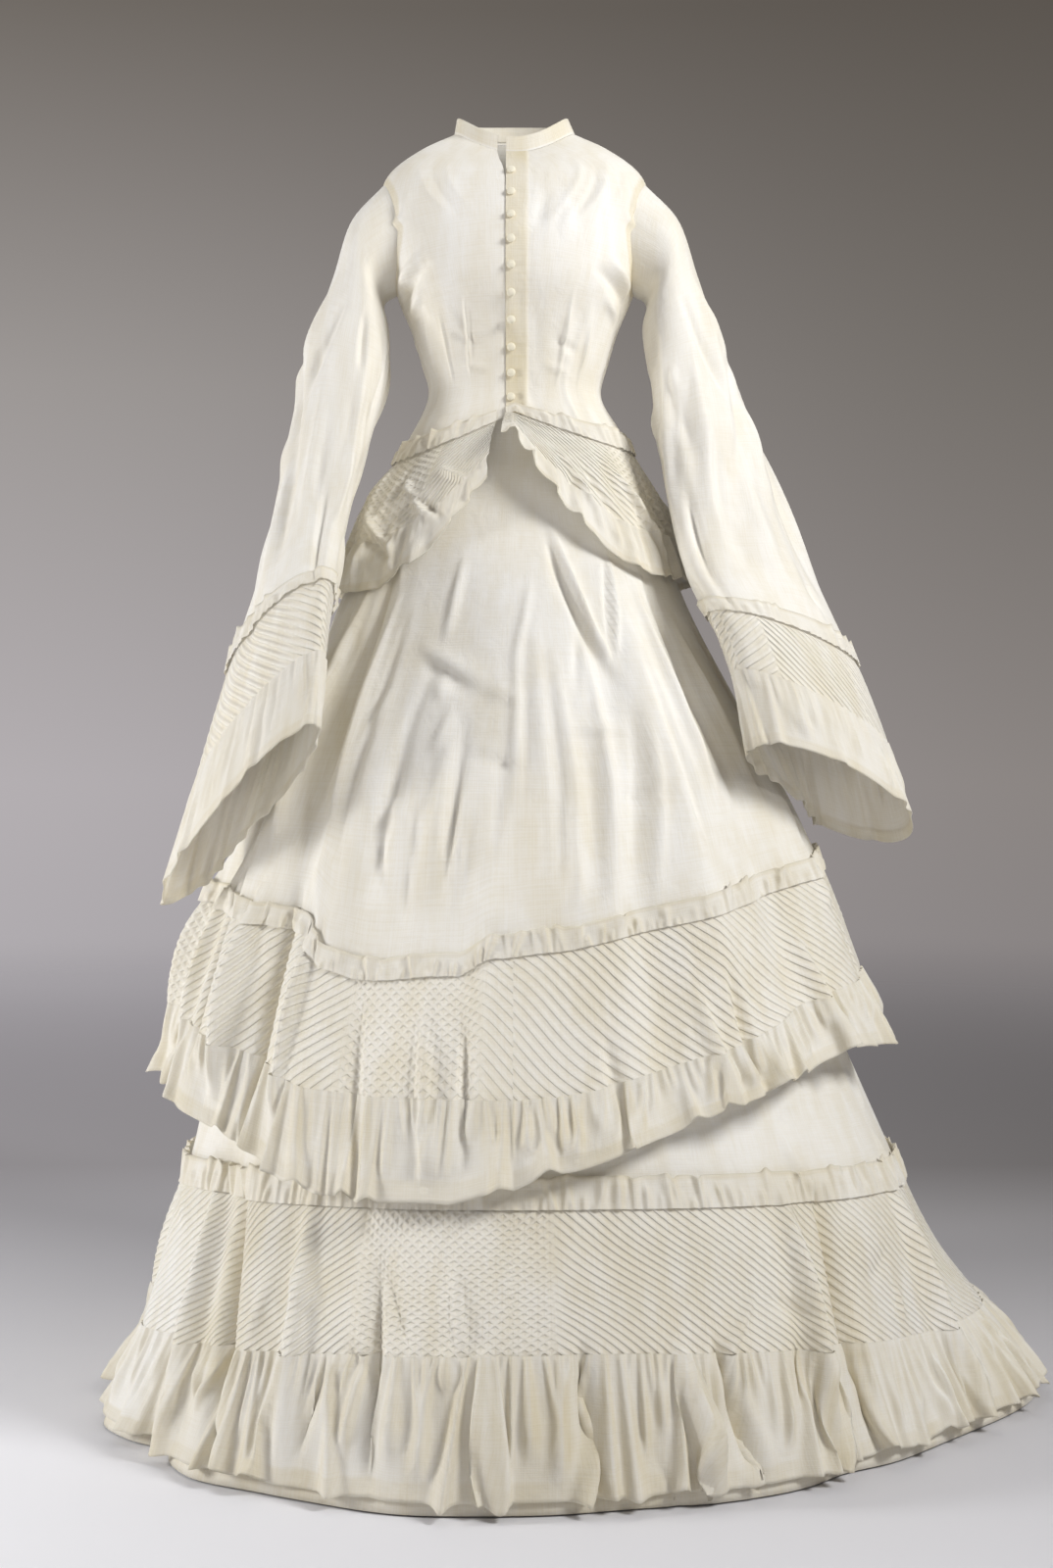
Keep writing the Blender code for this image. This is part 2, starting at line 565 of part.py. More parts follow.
def make_bodice(parts, cutters):
    rings = len(BODICE)
    side = [math.radians(angle) for angle in SIDE_SEAM]
    back = [math.radians(angle) for angle in BACK_SEAM]
    lap, under = front_edge_angles()
    right_side, right_back = ([FULL_TURN - angle for angle in seam] for seam in (side, back))
    middle = [math.pi] * rings
    panels = {
        "bodice_front_left": panel(0, lap, side, FRONT_COLUMNS),
        "bodice_front_right": panel(0, [-angle for angle in side], under, FRONT_COLUMNS),
        "bodice_side_back_left": panel(SIDE_BACK_FIRST_ROW, side, back, SIDE_BACK_COLUMNS),
        "bodice_side_back_right": panel(SIDE_BACK_FIRST_ROW, right_back, right_side, SIDE_BACK_COLUMNS),
        "bodice_back_left": panel(0, back, middle, BACK_COLUMNS),
        "bodice_back_right": panel(0, middle, right_back, BACK_COLUMNS),
    }
    cutter = armhole_cutter(cutters)
    for name, piece in panels.items():
        made = wall(name, seamed(piece, ends=True, by=2 * SEAM_GAP), LAWN, parts)
        hole = made.modifiers.new("armhole", "BOOLEAN")
        hole.operation = "DIFFERENCE"
        hole.solver = "EXACT"
        hole.object = cutter

    starts, ends = front_angles([PLACKET_START] * rings), front_angles([PLACKET_END] * rings)
    placket = part_of(panel(GAPE_END_ROW + 1, starts, ends, PLACKET_COLUMNS), rows=(0, PLACKET_ROWS))
    wall("front_placket", lifted(placket, [-PLACKET_BEHIND] * len(placket.points)), LAWN, parts)


def make_peplum(parts):
    angles = bodice_angles(-1)
    rings = sheet([[section_point(section, angle) for angle in angles] for section in PEPLUM], False)
    band = part_of(rings, rows=(0, 2))
    wall("peplum_band", seamed(band, top=True, bottom=True), TUCKED, parts)
    frill("peplum_frill", part_of(rings, rows=(2, 3)), PEPLUM_FRILL_RUFFLE, parts)
    upper = sheet([[section_point(BODICE[ring], angle) for angle in bodice_angles(ring)] for ring in (-2, -1)], False)
    heading("peplum_heading", upper, PEPLUM_HEADING_RUFFLE, parts)


def make_collar(parts):
    start = math.asin(FRONT_EDGE / NECK_BASE.left)
    end = FULL_TURN + math.asin((FRONT_EDGE - NECK_GAPE) / NECK_BASE.left)
    angles = spaced(start, end, COLLAR_COLUMNS) + [end]
    rows = [[section_point(section, angle) + Vector((0, 0, SEAM_GAP)) for angle in angles] for section in COLLAR]
    wall("collar", sheet(rows, False), TUCKED, parts)


def armhole_point(angle, larger=0.0):
    """A point of the armhole seen from the side: angle 0 is its front and a quarter turn its top."""
    y = -(ARMHOLE_HALF_DEPTH + larger) * math.cos(angle)
    return y, ARMHOLE_Z + (ARMHOLE_HALF_HEIGHT + larger) * math.sin(angle)


def armhole_cutter(cutters):
    """One bar right through, for the holes of both sides."""
    profile = [armhole_point(FULL_TURN * k / SLEEVE_COLUMNS, SEAM_GAP) for k in range(SLEEVE_COLUMNS)]
    vertices = [(x, y, z - HOLD_HEIGHT) for x in (-CUTTER_REACH, CUTTER_REACH) for y, z in profile]
    count = len(profile)
    faces = [(k, count + k, count + (k + 1) % count, (k + 1) % count) for k in range(count)]
    faces += [tuple(range(count)), tuple(reversed(range(count, 2 * count)))]
    mesh = bpy.data.meshes.new("armhole_cutter")
    mesh.from_pydata(vertices, [], faces)
    made = bpy.data.objects.new("armhole_cutter", mesh)
    made.display_type = "WIRE"
    made.hide_render = True
    cutters.objects.link(made)
    return made


def halved(low, high, wanted, value):
    """Where value() reaches wanted between low and high, by halving; value may rise or fall."""
    rising = value(high) > value(low)
    for _ in range(HALVINGS):
        middle = (low + high) / 2
        if (value(middle) < wanted) == rising:
            low = middle
        else:
            high = middle
    return (low + high) / 2


def bodice_side(y, z):
    """How far out the bodice's side is at this depth and height."""

    def at_height(angle):
        place = halved(*SIDE_PLACES, z, lambda down: on_rings(BODICE, down, angle).z)
        return on_rings(BODICE, place, angle)

    first, last = (math.radians(angle) for angle in SIDE_ANGLES)
    angle = halved(first, last, y, lambda tried: at_height(tried).y)
    return at_height(angle).x


def kept_clear(point):
    """The point, moved out if it is within the rings that the sleeves hang outside of."""
    if point.z > SLEEVE_LIMITS[0].z_left:
        return point
    for upper, lower in zip(SLEEVE_LIMITS, SLEEVE_LIMITS[1:]):
        if point.z >= lower.z_left:
            break
    share = (upper.z_left - point.z) / (upper.z_left - lower.z_left)
    sides = ("left" if point.x > 0 else "right", "front" if point.y < 0 else "back")
    half_x, half_y = (getattr(upper, s) + (getattr(lower, s) - getattr(upper, s)) * share for s in sides)
    inside = math.hypot(point.x / half_x, point.y / half_y)
    if inside >= 1:
        return point
    return Vector((point.x / inside, point.y / inside, point.z))


def sleeve_point(ring, side, angle):
    """A point of a sleeve's ring: angle 0 is its front end and a quarter turn its outer side. side is 1 on the left."""
    turn = math.radians(ring.turn)
    front_end = Vector((-side * math.sin(turn), -math.cos(turn), 0.0))
    outer_side = Vector((side * math.cos(turn), -math.sin(turn), 0.0))
    along, across = math.cos(angle), math.sin(angle)
    centre = Vector((side * ring.x, ring.y, ring.z + ring.rise_front * along + ring.rise_out * across))
    return kept_clear(centre + front_end * (ring.long * along) + outer_side * (ring.short * across))


def make_sleeve(side_name, side, rings, parts):
    rows = []
    angles = [FULL_TURN * k / SLEEVE_COLUMNS for k in range(SLEEVE_COLUMNS)]
    for out in (-HEAD_IN, HEAD_OUT):
        row = []
        for angle in angles:
            y, z = armhole_point(angle)
            row.append(Vector((side * (bodice_side(y, z) + out), y, z)))
        rows.append(row)
    rows += [[sleeve_point(ring, side, angle) for angle in angles] for ring in rings]
    if side < 0:
        rows = [row[:1] + row[:0:-1] for row in rows]  # so that it runs the same way round as the left one
    tube = sheet(rows, True)
    last = len(rows) - 1
    upper = part_of(tube, rows=(0, last - 2))
    wall(f"sleeve_{side_name}", seamed(upper, bottom=True), LAWN, parts)
    band = part_of(tube, rows=(last - 2, last - 1))
    wall(f"sleeve_band_{side_name}", seamed(band, top=True, bottom=True), TUCKED, parts)
    frill(f"sleeve_frill_{side_name}", part_of(tube, rows=(last - 1, last)), SLEEVE_FRILL_RUFFLE, parts)
    heading(f"sleeve_heading_{side_name}", upper, SLEEVE_HEADING_RUFFLE, parts)


def make_button(number, z, parts):
    """A covered button seated on the lapped front."""

    def at_height(angle, height=z):
        place = halved(0.0, len(BODICE) - 1.0, height, lambda down: on_rings(BODICE, down, angle).z)
        return on_rings(BODICE, place, angle)

    reach, step = math.radians(BUTTON_ANGLE), math.radians(1)
    angle = halved(-reach, reach, BUTTON_X, lambda tried: at_height(tried).x)
    across = at_height(angle + step) - at_height(angle - step)
    down = at_height(angle, z - BUTTON_RADIUS) - at_height(angle, z + BUTTON_RADIUS)
    outward = down.cross(across).normalized()
    centre = at_height(angle) + outward * (BUTTON_HALF_DEPTH + SEAM_GAP) - Vector((0, 0, HOLD_HEIGHT))
    size = Matrix.Diagonal((BUTTON_RADIUS, BUTTON_RADIUS, BUTTON_HALF_DEPTH, 1.0))
    ball = bmesh.new()
    bmesh.ops.create_uvsphere(ball, u_segments=BUTTON_SEGMENTS, v_segments=BUTTON_RINGS, radius=1.0)
    ball.transform(Matrix.Translation(centre) @ outward.to_track_quat("Z", "Y").to_matrix().to_4x4() @ size)
    name = f"button_{number:02d}"
    mesh = bpy.data.meshes.new(name)
    ball.to_mesh(mesh)
    ball.free()
    mesh.materials.append(material(COVERED))
    mesh.shade_smooth()
    parts.objects.link(bpy.data.objects.new(name, mesh))


def main():
    clear_scene()
    parts = collection("wedding_dress")
    cutters = collection("cutters")
    make_collar(parts)
    make_bodice(parts, cutters)
    for k in range(BUTTON_COUNT):
        make_button(k + 1, LOWEST_BUTTON + BUTTON_SPACING * (BUTTON_COUNT - 1 - k), parts)
    make_sleeve("left", 1, LEFT_SLEEVE, parts)
    make_sleeve("right", -1, RIGHT_SLEEVE, parts)
    make_peplum(parts)
    make_overskirt(parts)
    make_underskirt(parts)


main()
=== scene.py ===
"""The looks of a wedding dress of the 1870s in sheer ivory lawn, laid out as a Blender add-on.

Units are metres. +X is the wearer's left, -Y is the front, +Z is up, and the floor is HOLD_HEIGHT below the origin.
Each piece of cloth is a grid of points, rows running down it and columns going round towards the wearer's left.
"""

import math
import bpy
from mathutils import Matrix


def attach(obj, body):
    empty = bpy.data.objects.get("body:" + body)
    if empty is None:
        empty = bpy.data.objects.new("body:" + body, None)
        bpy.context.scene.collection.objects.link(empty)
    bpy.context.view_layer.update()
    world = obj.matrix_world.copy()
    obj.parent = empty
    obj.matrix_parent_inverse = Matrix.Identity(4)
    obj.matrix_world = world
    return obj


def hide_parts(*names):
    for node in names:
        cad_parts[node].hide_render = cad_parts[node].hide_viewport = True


bl_info = {
    "name": "Sheer lawn wedding dress",
    "version": (1, 0, 0),
    "blender": (4, 5, 0),
    "location": "3D View > Sidebar > Dress",
    "description": "Makes the cloth and the buttons of a trained dress on its packed solids",
    "category": "Object",
}

from collections import namedtuple

import bpy
import numpy as np
from bpy.props import FloatProperty, FloatVectorProperty, IntProperty, PointerProperty
from mathutils import Vector

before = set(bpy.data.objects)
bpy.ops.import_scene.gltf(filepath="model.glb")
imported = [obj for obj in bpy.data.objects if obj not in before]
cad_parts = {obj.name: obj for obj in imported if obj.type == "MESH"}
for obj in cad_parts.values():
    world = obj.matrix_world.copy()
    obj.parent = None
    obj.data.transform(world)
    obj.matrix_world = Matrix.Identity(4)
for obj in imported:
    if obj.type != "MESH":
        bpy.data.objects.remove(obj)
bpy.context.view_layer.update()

HOLD_HEIGHT = 1.400
FULL_TURN = 2 * math.pi
FLOOR_CLEAR = 0.0018
LAYER = 0.0018  # from one layer's face to the next one's, where cloth lies over cloth

# Rings of the bodice and skirts, top to bottom: heights above the floor at the front, right, left and back, then the
# half sizes to those sides. swing moves the back to the wearer's left, and peak is the half width, in degrees, of a
# point at the centre front.
SIDES = "z_front z_right z_left z_back right left front back swing peak"
Section = namedtuple("Section", SIDES, defaults=(0.0, None))


def level(z, right, left, front, back):
    """A section whose height is the same all round."""
    return Section(z, z, z, z, right, left, front, back)


def rows_of(kind, *rows):
    """The rows of a table, each as a named tuple of its kind."""
    return [kind(*row) for row in rows]


NECK_BASE = Section(1.420, 1.456, 1.456, 1.464, 0.070, 0.070, 0.060, 0.064)
COLLAR = [
    Section(1.438, 1.474, 1.474, 1.484, 0.067, 0.062, 0.060, 0.061),
    NECK_BASE,
]
BODICE = [
    NECK_BASE,
    Section(1.410, 1.437, 1.437, 1.440, 0.110, 0.110, 0.070, 0.076),
    Section(1.396, 1.406, 1.406, 1.412, 0.148, 0.148, 0.081, 0.085),
    Section(1.375, 1.370, 1.370, 1.380, 0.158, 0.158, 0.093, 0.093),
    Section(1.346, 1.332, 1.332, 1.346, 0.152, 0.152, 0.106, 0.099),
    Section(1.310, 1.294, 1.294, 1.310, 0.144, 0.144, 0.117, 0.099),
    Section(1.272, 1.262, 1.262, 1.270, 0.134, 0.134, 0.117, 0.094),
    level(1.232, 0.121, 0.121, 0.100, 0.087),
    level(1.190, 0.108, 0.108, 0.085, 0.080),
    level(1.154, 0.100, 0.100, 0.078, 0.074),
    Section(1.132, 1.096, 1.107, 1.116, 0.127, 0.126, 0.0815, 0.094, 0.0, 80),
    Section(1.122, 1.072, 1.084, 1.094, 0.140, 0.138, 0.083, 0.105, 0.0, 80),
]
PEPLUM = [
    BODICE[-1],
    Section(1.112, 1.030, 1.036, 1.045, 0.172, 0.168, 0.098, 0.215, 0.0, 66),
    Section(1.104, 0.978, 0.988, 1.000, 0.195, 0.189, 0.114, 0.292, 0.0, 58),
    Section(1.092, 0.922, 0.936, 0.945, 0.213, 0.206, 0.132, 0.345, 0.0, 54),
]
OVERSKIRT = [
    level(1.152, 0.0978, 0.0978, 0.0758, 0.0718),
    level(1.118, 0.101, 0.101, 0.0780, 0.0760),
    level(1.092, 0.112, 0.110, 0.0800, 0.0880),
    level(1.055, 0.136, 0.134, 0.089, 0.160),
    level(0.990, 0.168, 0.166, 0.108, 0.245),
    level(0.900, 0.205, 0.204, 0.146, 0.312),
    level(0.790, 0.258, 0.262, 0.190, 0.340),
    level(0.690, 0.300, 0.316, 0.228, 0.360),
    Section(0.549, 0.593, 0.632, 0.676, 0.336, 0.344, 0.279, 0.366),
    Section(0.525, 0.570, 0.610, 0.650, 0.345, 0.354, 0.288, 0.378),
    Section(0.385, 0.455, 0.490, 0.555, 0.384, 0.397, 0.338, 0.412),
    Section(0.288, 0.380, 0.414, 0.485, 0.404, 0.424, 0.372, 0.440),
]
UNDERSKIRT = [
    level(1.150, 0.0956, 0.0956, 0.0736, 0.0696),
    level(1.118, 0.0985, 0.0985, 0.0756, 0.0735),
    level(1.090, 0.106, 0.104, 0.0770, 0.0810),
    level(0.960, 0.158, 0.156, 0.108, 0.220),
    level(0.760, 0.246, 0.250, 0.182, 0.290),
    level(0.500, 0.322, 0.340, 0.272, 0.370),
    Section(0.311, 0.292, 0.288, 0.282, 0.368, 0.431, 0.339, 0.501, 0.017),
    Section(0.279, 0.260, 0.256, 0.250, 0.375, 0.445, 0.350, 0.520, 0.02),
    Section(0.147, 0.105, 0.105, 0.095, 0.415, 0.475, 0.398, 0.700, 0.05),
    Section(0.002, 0.002, 0.002, 0.002, 0.460, 0.500, 0.430, 0.920, 0.12),
]
SKIRT_COLUMNS = 56
UNDERSKIRT_HEADING_ROW, UNDERSKIRT_BAND_ROW, FLOUNCE_ROW, HEM_ROW = 6, 7, 8, 9
APRON_HEADING_ROW, APRON_BAND_ROW, APRON_FRILL_ROW, APRON_HEM_ROW = 8, 9, 10, 11
UNDERSKIRT_GORES = {
    "underskirt_front": (-6, 6),
    "underskirt_side_left": (6, 16),
    "underskirt_back_left": (16, 28),
    "underskirt_back_right": (28, 40),
    "underskirt_side_right": (40, 50),
}
OVERSKIRT_SIDE_COLUMN = 17
# The apron's heading, band and frill hang unevenly: how much higher these rings are, at these degrees round.
APRON_RISE_ANGLES = [-60, -42, -34, -28, -10, -3, 6, 21, 34, 56, 76, 100]
APRON_RISES = {
    8: [0.0, 0.0, -0.028, -0.034, -0.020, 0.0, 0.005, 0.012, 0.012, 0.006, 0.0, 0.0],
    9: [0.0, 0.0, -0.028, -0.034, -0.020, 0.0, 0.005, 0.012, 0.012, 0.006, 0.0, 0.0],
    10: [0.0, -0.006, -0.012, -0.010, 0.0, 0.002, 0.004, 0.012, 0.016, 0.018, 0.010, 0.0],
    11: [0.0, -0.008, -0.016, -0.018, -0.002, 0.010, 0.030, 0.046, 0.056, 0.042, 0.014, 0.0],
}

# The largest folds. angle and width are degrees round the skirt, 0 at the centre front and growing to the wearer's
# left; a fold grows from height begins to ends.
Fold = namedtuple("Fold", "angle width depth begins ends")
OVERSKIRT_FOLDS = rows_of(
    Fold,
    (-74, 5, -0.012, 0.98, 0.55),
    (-60, 5, 0.01, 0.98, 0.55),
    (-46, 5, -0.012, 1.02, 0.6),
    (-34, 4, 0.009, 1.0, 0.6),
    (24, 5, -0.01, 1.02, 0.8),
    (36, 4, 0.009, 1.0, 0.75),
    (52, 5, -0.012, 0.98, 0.55),
    (68, 6, 0.008, 0.95, 0.55),
    (108, 6, -0.014, 0.9, 0.6),
    (132, 7, 0.012, 0.9, 0.6),
    (-108, 6, -0.014, 0.9, 0.6),
    (-132, 7, 0.012, 0.9, 0.6),
)
UNDERSKIRT_FOLDS = rows_of(
    Fold,
    (-72, 6, 0.012, 0.45, 0.15),
    (-57, 5, -0.02, 0.5, 0.15),
    (-43, 6, 0.01, 0.45, 0.15),
    (-14, 8, 0.008, 0.4, 0.1),
    (14, 8, -0.008, 0.4, 0.1),
    (44, 6, -0.012, 0.45, 0.1),
    (95, 22, 0.11, 0.25, 0.0),
    (-112, 8, -0.022, 0.45, 0.15),
    (-136, 8, 0.016, 0.45, 0.15),
    (-162, 8, -0.02, 0.45, 0.15),
    (136, 8, -0.02, 0.45, 0.15),
    (162, 8, 0.016, 0.45, 0.15),
)
PUFF_COUNT, PUFF_DEPTH = 2, 0.042
PUFF_TOP, PUFF_BOTTOM = 0.94, 0.69

# Creases given one by one, as lines from one place to another, each place an angle in degrees and a height. width and
# depth are in metres, and a trough has a depth below 0.
Crease = namedtuple("Crease", "angle z to_angle to_z width depth")
CREASE_ENDS = 1.2  # how gently creases begin and end
# How far from the middle each piece is, about, where its creases turn degrees into lengths
BODICE_RADIUS, PEPLUM_RADIUS, SLEEVE_RADIUS = 0.12, 0.18, 0.06
APRON_RADIUS, APRON_EDGE_RADIUS, UNDERSKIRT_RADIUS = 0.24, 0.36, 0.40
# Small creases at uneven places between two heights, up to half_turn degrees each way from the centre front
Scatter = namedtuple("Scatter", "count half_turn lowest highest seed")
APRON_SMALL = Scatter(110, 180, 0.58, 1.02, 11)
UNDERSKIRT_SMALL = Scatter(60, 180, 0.05, 0.45, 31)
PEPLUM_SMALL, PEPLUM_SMALL_SHARE = Scatter(110, 100, 0.93, 1.10, 43), 0.6
BODICE_SMALL, BODICE_SMALL_SHARE = Scatter(80, 175, 1.16, 1.41, 51), 0.5
SLEEVE_SMALL = Scatter(40, 180, 0.90, 1.27, 0)
SMALL_LENGTH, SMALL_LEAN, SMALL_WIDTH, SMALL_DEPTH = (0.03, 0.12), 9, (0.0045, 0.0095), (0.0012, 0.0032)
APRON_CREASES = rows_of(
    Crease,
    (-29, 0.862, -6, 0.812, 0.008, 0.0034),
    (-27, 0.843, -5, 0.792, 0.01, -0.0034),
    (-7, 0.806, 3, 0.797, 0.005, 0.003),
    (10, 0.763, 28, 0.768, 0.005, 0.0032),
    (13, 0.998, 29, 0.818, 0.006, 0.008),
    (11, 0.985, 27, 0.812, 0.007, -0.0065),
    (36, 0.966, 28, 0.826, 0.0035, 0.0045),
    (34, 0.96, 26.5, 0.83, 0.004, -0.0045),
    (33, 0.81, 26, 0.56, 0.0045, 0.0036),
    (30, 0.8, 22, 0.58, 0.006, -0.004),
    (-24, 0.79, -30, 0.56, 0.009, -0.006),
    (-14, 0.77, -17, 0.56, 0.008, 0.005),
    (-2, 0.76, -4, 0.56, 0.009, -0.0038),
    (6, 0.9, 6, 0.56, 0.008, 0.0036),
    (16, 0.79, 15, 0.57, 0.008, -0.0042),
    (-9, 0.72, -12, 0.56, 0.005, 0.0036),
    (-20, 0.7, -21, 0.54, 0.006, -0.0038),
    (10, 0.7, 12, 0.56, 0.005, 0.0034),
    (-34, 0.9, -36, 0.6, 0.007, -0.005),
    (1, 0.88, 0, 0.64, 0.005, 0.0034),
    (11, 0.86, 12, 0.6, 0.006, 0.004),
    (21, 0.86, 19, 0.6, 0.006, 0.0046),
    (-11, 0.78, -13, 0.6, 0.005, -0.0036),
    (37, 0.86, 38, 0.6, 0.006, -0.0052),
    (-40, 0.93, -40, 0.62, 0.006, 0.006),
    (-47, 0.96, -48, 0.64, 0.008, -0.01),
    (-56, 0.94, -55, 0.62, 0.008, 0.01),
    (-65, 0.93, -64, 0.6, 0.008, -0.01),
    (-80, 0.9, -78, 0.62, 0.009, 0.008),
    (44, 0.94, 44, 0.66, 0.007, 0.006),
    (51, 0.96, 53, 0.66, 0.007, -0.007),
    (58, 0.9, 60, 0.66, 0.006, 0.005),
    (74, 0.9, 76, 0.64, 0.008, -0.007),
    (-12, 0.74, 4, 0.715, 0.006, -0.0026),
    (-32, 0.7, -18, 0.66, 0.006, 0.003),
    (18, 0.68, 34, 0.7, 0.006, -0.003),
    (118, 0.88, 122, 0.7, 0.007, -0.006),
    (146, 0.9, 150, 0.7, 0.008, -0.007),
    (168, 0.92, 166, 0.69, 0.008, -0.006),
    (-118, 0.88, -122, 0.7, 0.007, -0.006),
    (-146, 0.9, -150, 0.7, 0.008, -0.007),
    (-170, 0.92, -168, 0.69, 0.008, 0.006),
)
# Below its seam the apron's band and frill hang in cascades at the wearer's right and in softer folds elsewhere.
APRON_EDGE_CREASES = rows_of(
    Crease,
    (-86, 0.64, -84, 0.4, 0.01, 0.014),
    (-78, 0.64, -76, 0.39, 0.008, -0.014),
    (-71, 0.64, -69, 0.38, 0.008, 0.012),
    (-63, 0.64, -61, 0.37, 0.007, -0.016),
    (-54, 0.62, -53, 0.36, 0.008, 0.016),
    (-46, 0.6, -46, 0.35, 0.006, -0.013),
    (-38, 0.59, -39, 0.34, 0.007, 0.01),
    (-27, 0.5, -24, 0.3, 0.009, -0.006),
    (-15, 0.5, -12, 0.3, 0.007, 0.006),
    (-8, 0.48, -7, 0.3, 0.006, -0.006),
    (14, 0.46, 17, 0.32, 0.008, -0.006),
    (30, 0.5, 33, 0.35, 0.006, 0.008),
    (36, 0.52, 38, 0.36, 0.006, -0.008),
    (55, 0.56, 58, 0.4, 0.008, 0.008),
    (72, 0.6, 76, 0.42, 0.008, -0.008),
)
UNDERSKIRT_CREASES = rows_of(
    Crease,
    (-60, 0.3, -50, 0.0, 0.014, 0.0216),
    (-50, 0.3, -40, 0.0, 0.011, -0.0203),
    (-33, 0.3, -30, 0.0, 0.011, 0.0108),
    (-20, 0.25, -17, 0.0, 0.009, -0.0095),
    (-4, 0.16, -2, 0.0, 0.008, 0.0095),
    (8, 0.17, 9, 0.0, 0.008, -0.0108),
    (20, 0.16, 24, 0.0, 0.006, 0.0162),
    (25, 0.16, 29, 0.0, 0.006, -0.0149),
    (38, 0.3, 42, 0.0, 0.009, 0.0162),
    (46, 0.3, 50, 0.0, 0.008, -0.0162),
    (66, 0.3, 72, 0.0, 0.01, 0.0135),
    (-78, 0.3, -80, 0.0, 0.012, -0.0189),
    (-96, 0.3, -98, 0.0, 0.012, 0.0162),
    (118, 0.28, 120, 0.0, 0.016, -0.0162),
    (150, 0.28, 150, 0.0, 0.016, 0.0162),
    (176, 0.28, 178, 0.0, 0.018, -0.0162),
    (-150, 0.28, -150, 0.0, 0.016, -0.0162),
    (-124, 0.28, -126, 0.0, 0.014, 0.0162),
)
PEPLUM_CREASES = rows_of(
    Crease,
    (-70, 1.02, -40, 0.96, 0.006, 0.006),
    (-66, 1.0, -36, 0.945, 0.005, -0.005),
    (-50, 1.05, -22, 0.99, 0.005, 0.005),
    (-46, 1.036, -20, 1.0, 0.004, -0.0045),
    (-30, 1.06, -14, 1.04, 0.004, 0.004),
    (-84, 1.04, -70, 0.93, 0.007, -0.007),
    (-58, 0.99, -62, 0.925, 0.006, 0.006),
    (16, 1.08, 30, 1.0, 0.004, 0.004),
    (24, 1.076, 40, 0.985, 0.004, -0.0036),
    (44, 1.06, 62, 0.95, 0.005, 0.005),
    (62, 1.04, 80, 0.94, 0.006, -0.006),
    (96, 1.04, 100, 0.94, 0.009, 0.008),
    (124, 1.05, 126, 0.95, 0.01, -0.01),
    (148, 1.06, 150, 0.95, 0.01, 0.01),
    (172, 1.06, 172, 0.95, 0.01, -0.01),
    (-104, 1.04, -106, 0.94, 0.009, 0.008),
    (-130, 1.05, -132, 0.95, 0.01, -0.01),
    (-156, 1.06, -156, 0.95, 0.01, 0.01),
)
BODICE_CREASES = rows_of(
    Crease,
    (-25, 1.262, -29.5, 1.158, 0.0024, 0.0024),
    (31, 1.262, 28.5, 1.15, 0.0024, 0.0024),
    (-44, 1.24, -44, 1.15, 0.0024, 0.0016),
    (47, 1.24, 46, 1.15, 0.0024, 0.0016),
    (-78, 1.262, -42, 1.305, 0.006, 0.004),
    (-80, 1.25, -40, 1.29, 0.006, -0.004),
    (-74, 1.236, -50, 1.262, 0.0045, 0.0028),
    (78, 1.262, 44, 1.3, 0.006, 0.004),
    (80, 1.246, 38, 1.285, 0.006, -0.004),
    (72, 1.232, 50, 1.256, 0.0045, 0.0028),
    (70, 1.33, 52, 1.35, 0.005, 0.0026),
    (-70, 1.335, -50, 1.35, 0.005, 0.0026),
    (34, 1.418, 15, 1.325, 0.0036, 0.0012),
    (42, 1.418, 22, 1.315, 0.0036, -0.001),
    (50, 1.42, 28, 1.33, 0.004, 0.0012),
    (60, 1.424, 35, 1.335, 0.004, -0.0009),
    (-36, 1.418, -16, 1.335, 0.0038, 0.0009),
    (-44, 1.42, -21, 1.325, 0.0036, -0.0008),
    (-52, 1.42, -27, 1.335, 0.004, 0.0008),
    (-40, 1.215, -18, 1.196, 0.005, -0.0018),
    (-36, 1.18, -14, 1.172, 0.004, 0.0016),
    (20, 1.205, 44, 1.19, 0.005, -0.0018),
    (16, 1.178, 38, 1.168, 0.004, 0.0016),
    (150, 1.24, 128, 1.28, 0.006, 0.0028),
    (-150, 1.24, -128, 1.28, 0.006, 0.0028),
    (140, 1.36, 165, 1.39, 0.006, -0.002),
    (-140, 1.36, -165, 1.39, 0.006, -0.002),
)
# Places where the cloth lies tight on the layer below and looks whiter (amount below 0), or hangs free and looks
# creamier. width is in degrees, height in metres.
Patch = namedtuple("Patch", "angle z width height amount")
BODICE_PATCHES = rows_of(
    Patch,
    (30, 1.33, 26, 0.06, -0.36),
    (-32, 1.33, 24, 0.06, -0.22),
    (60, 1.41, 30, 0.022, 0.06),
    (-60, 1.41, 34, 0.026, 0.22),
    (0, 1.172, 50, 0.03, 0.18),
    (0, 1.43, 40, 0.02, 0.3),
    (74, 1.25, 16, 0.04, 0.22),
    (-74, 1.25, 16, 0.04, 0.22),
)
APRON_PATCHES = rows_of(
    Patch,
    (-6, 0.9, 16, 0.09, -0.22),
    (26, 0.8, 12, 0.12, -0.3),
    (-24, 0.74, 9, 0.11, -0.16),
    (42, 0.88, 8, 0.09, -0.2),
    (8, 0.64, 10, 0.08, 0.16),
    (-14, 0.62, 6, 0.09, 0.18),
    (-50, 0.78, 8, 0.16, 0.26),
    (4, 1.01, 12, 0.05, 0.18),
    (-70, 0.7, 12, 0.15, -0.16),
    (60, 0.72, 10, 0.08, 0.2),
)
UNDERSKIRT_PATCHES = rows_of(
    Patch,
    (-66, 0.12, 12, 0.12, -0.44),
    (-46, 0.15, 6, 0.12, 0.3),
    (-26, 0.06, 9, 0.05, -0.18),
    (4, 0.08, 12, 0.05, 0.16),
    (26, 0.08, 8, 0.05, 0.2),
    (46, 0.15, 7, 0.12, 0.26),
    (64, 0.1, 10, 0.08, -0.2),
    (30, 0.36, 26, 0.05, -0.22),
)

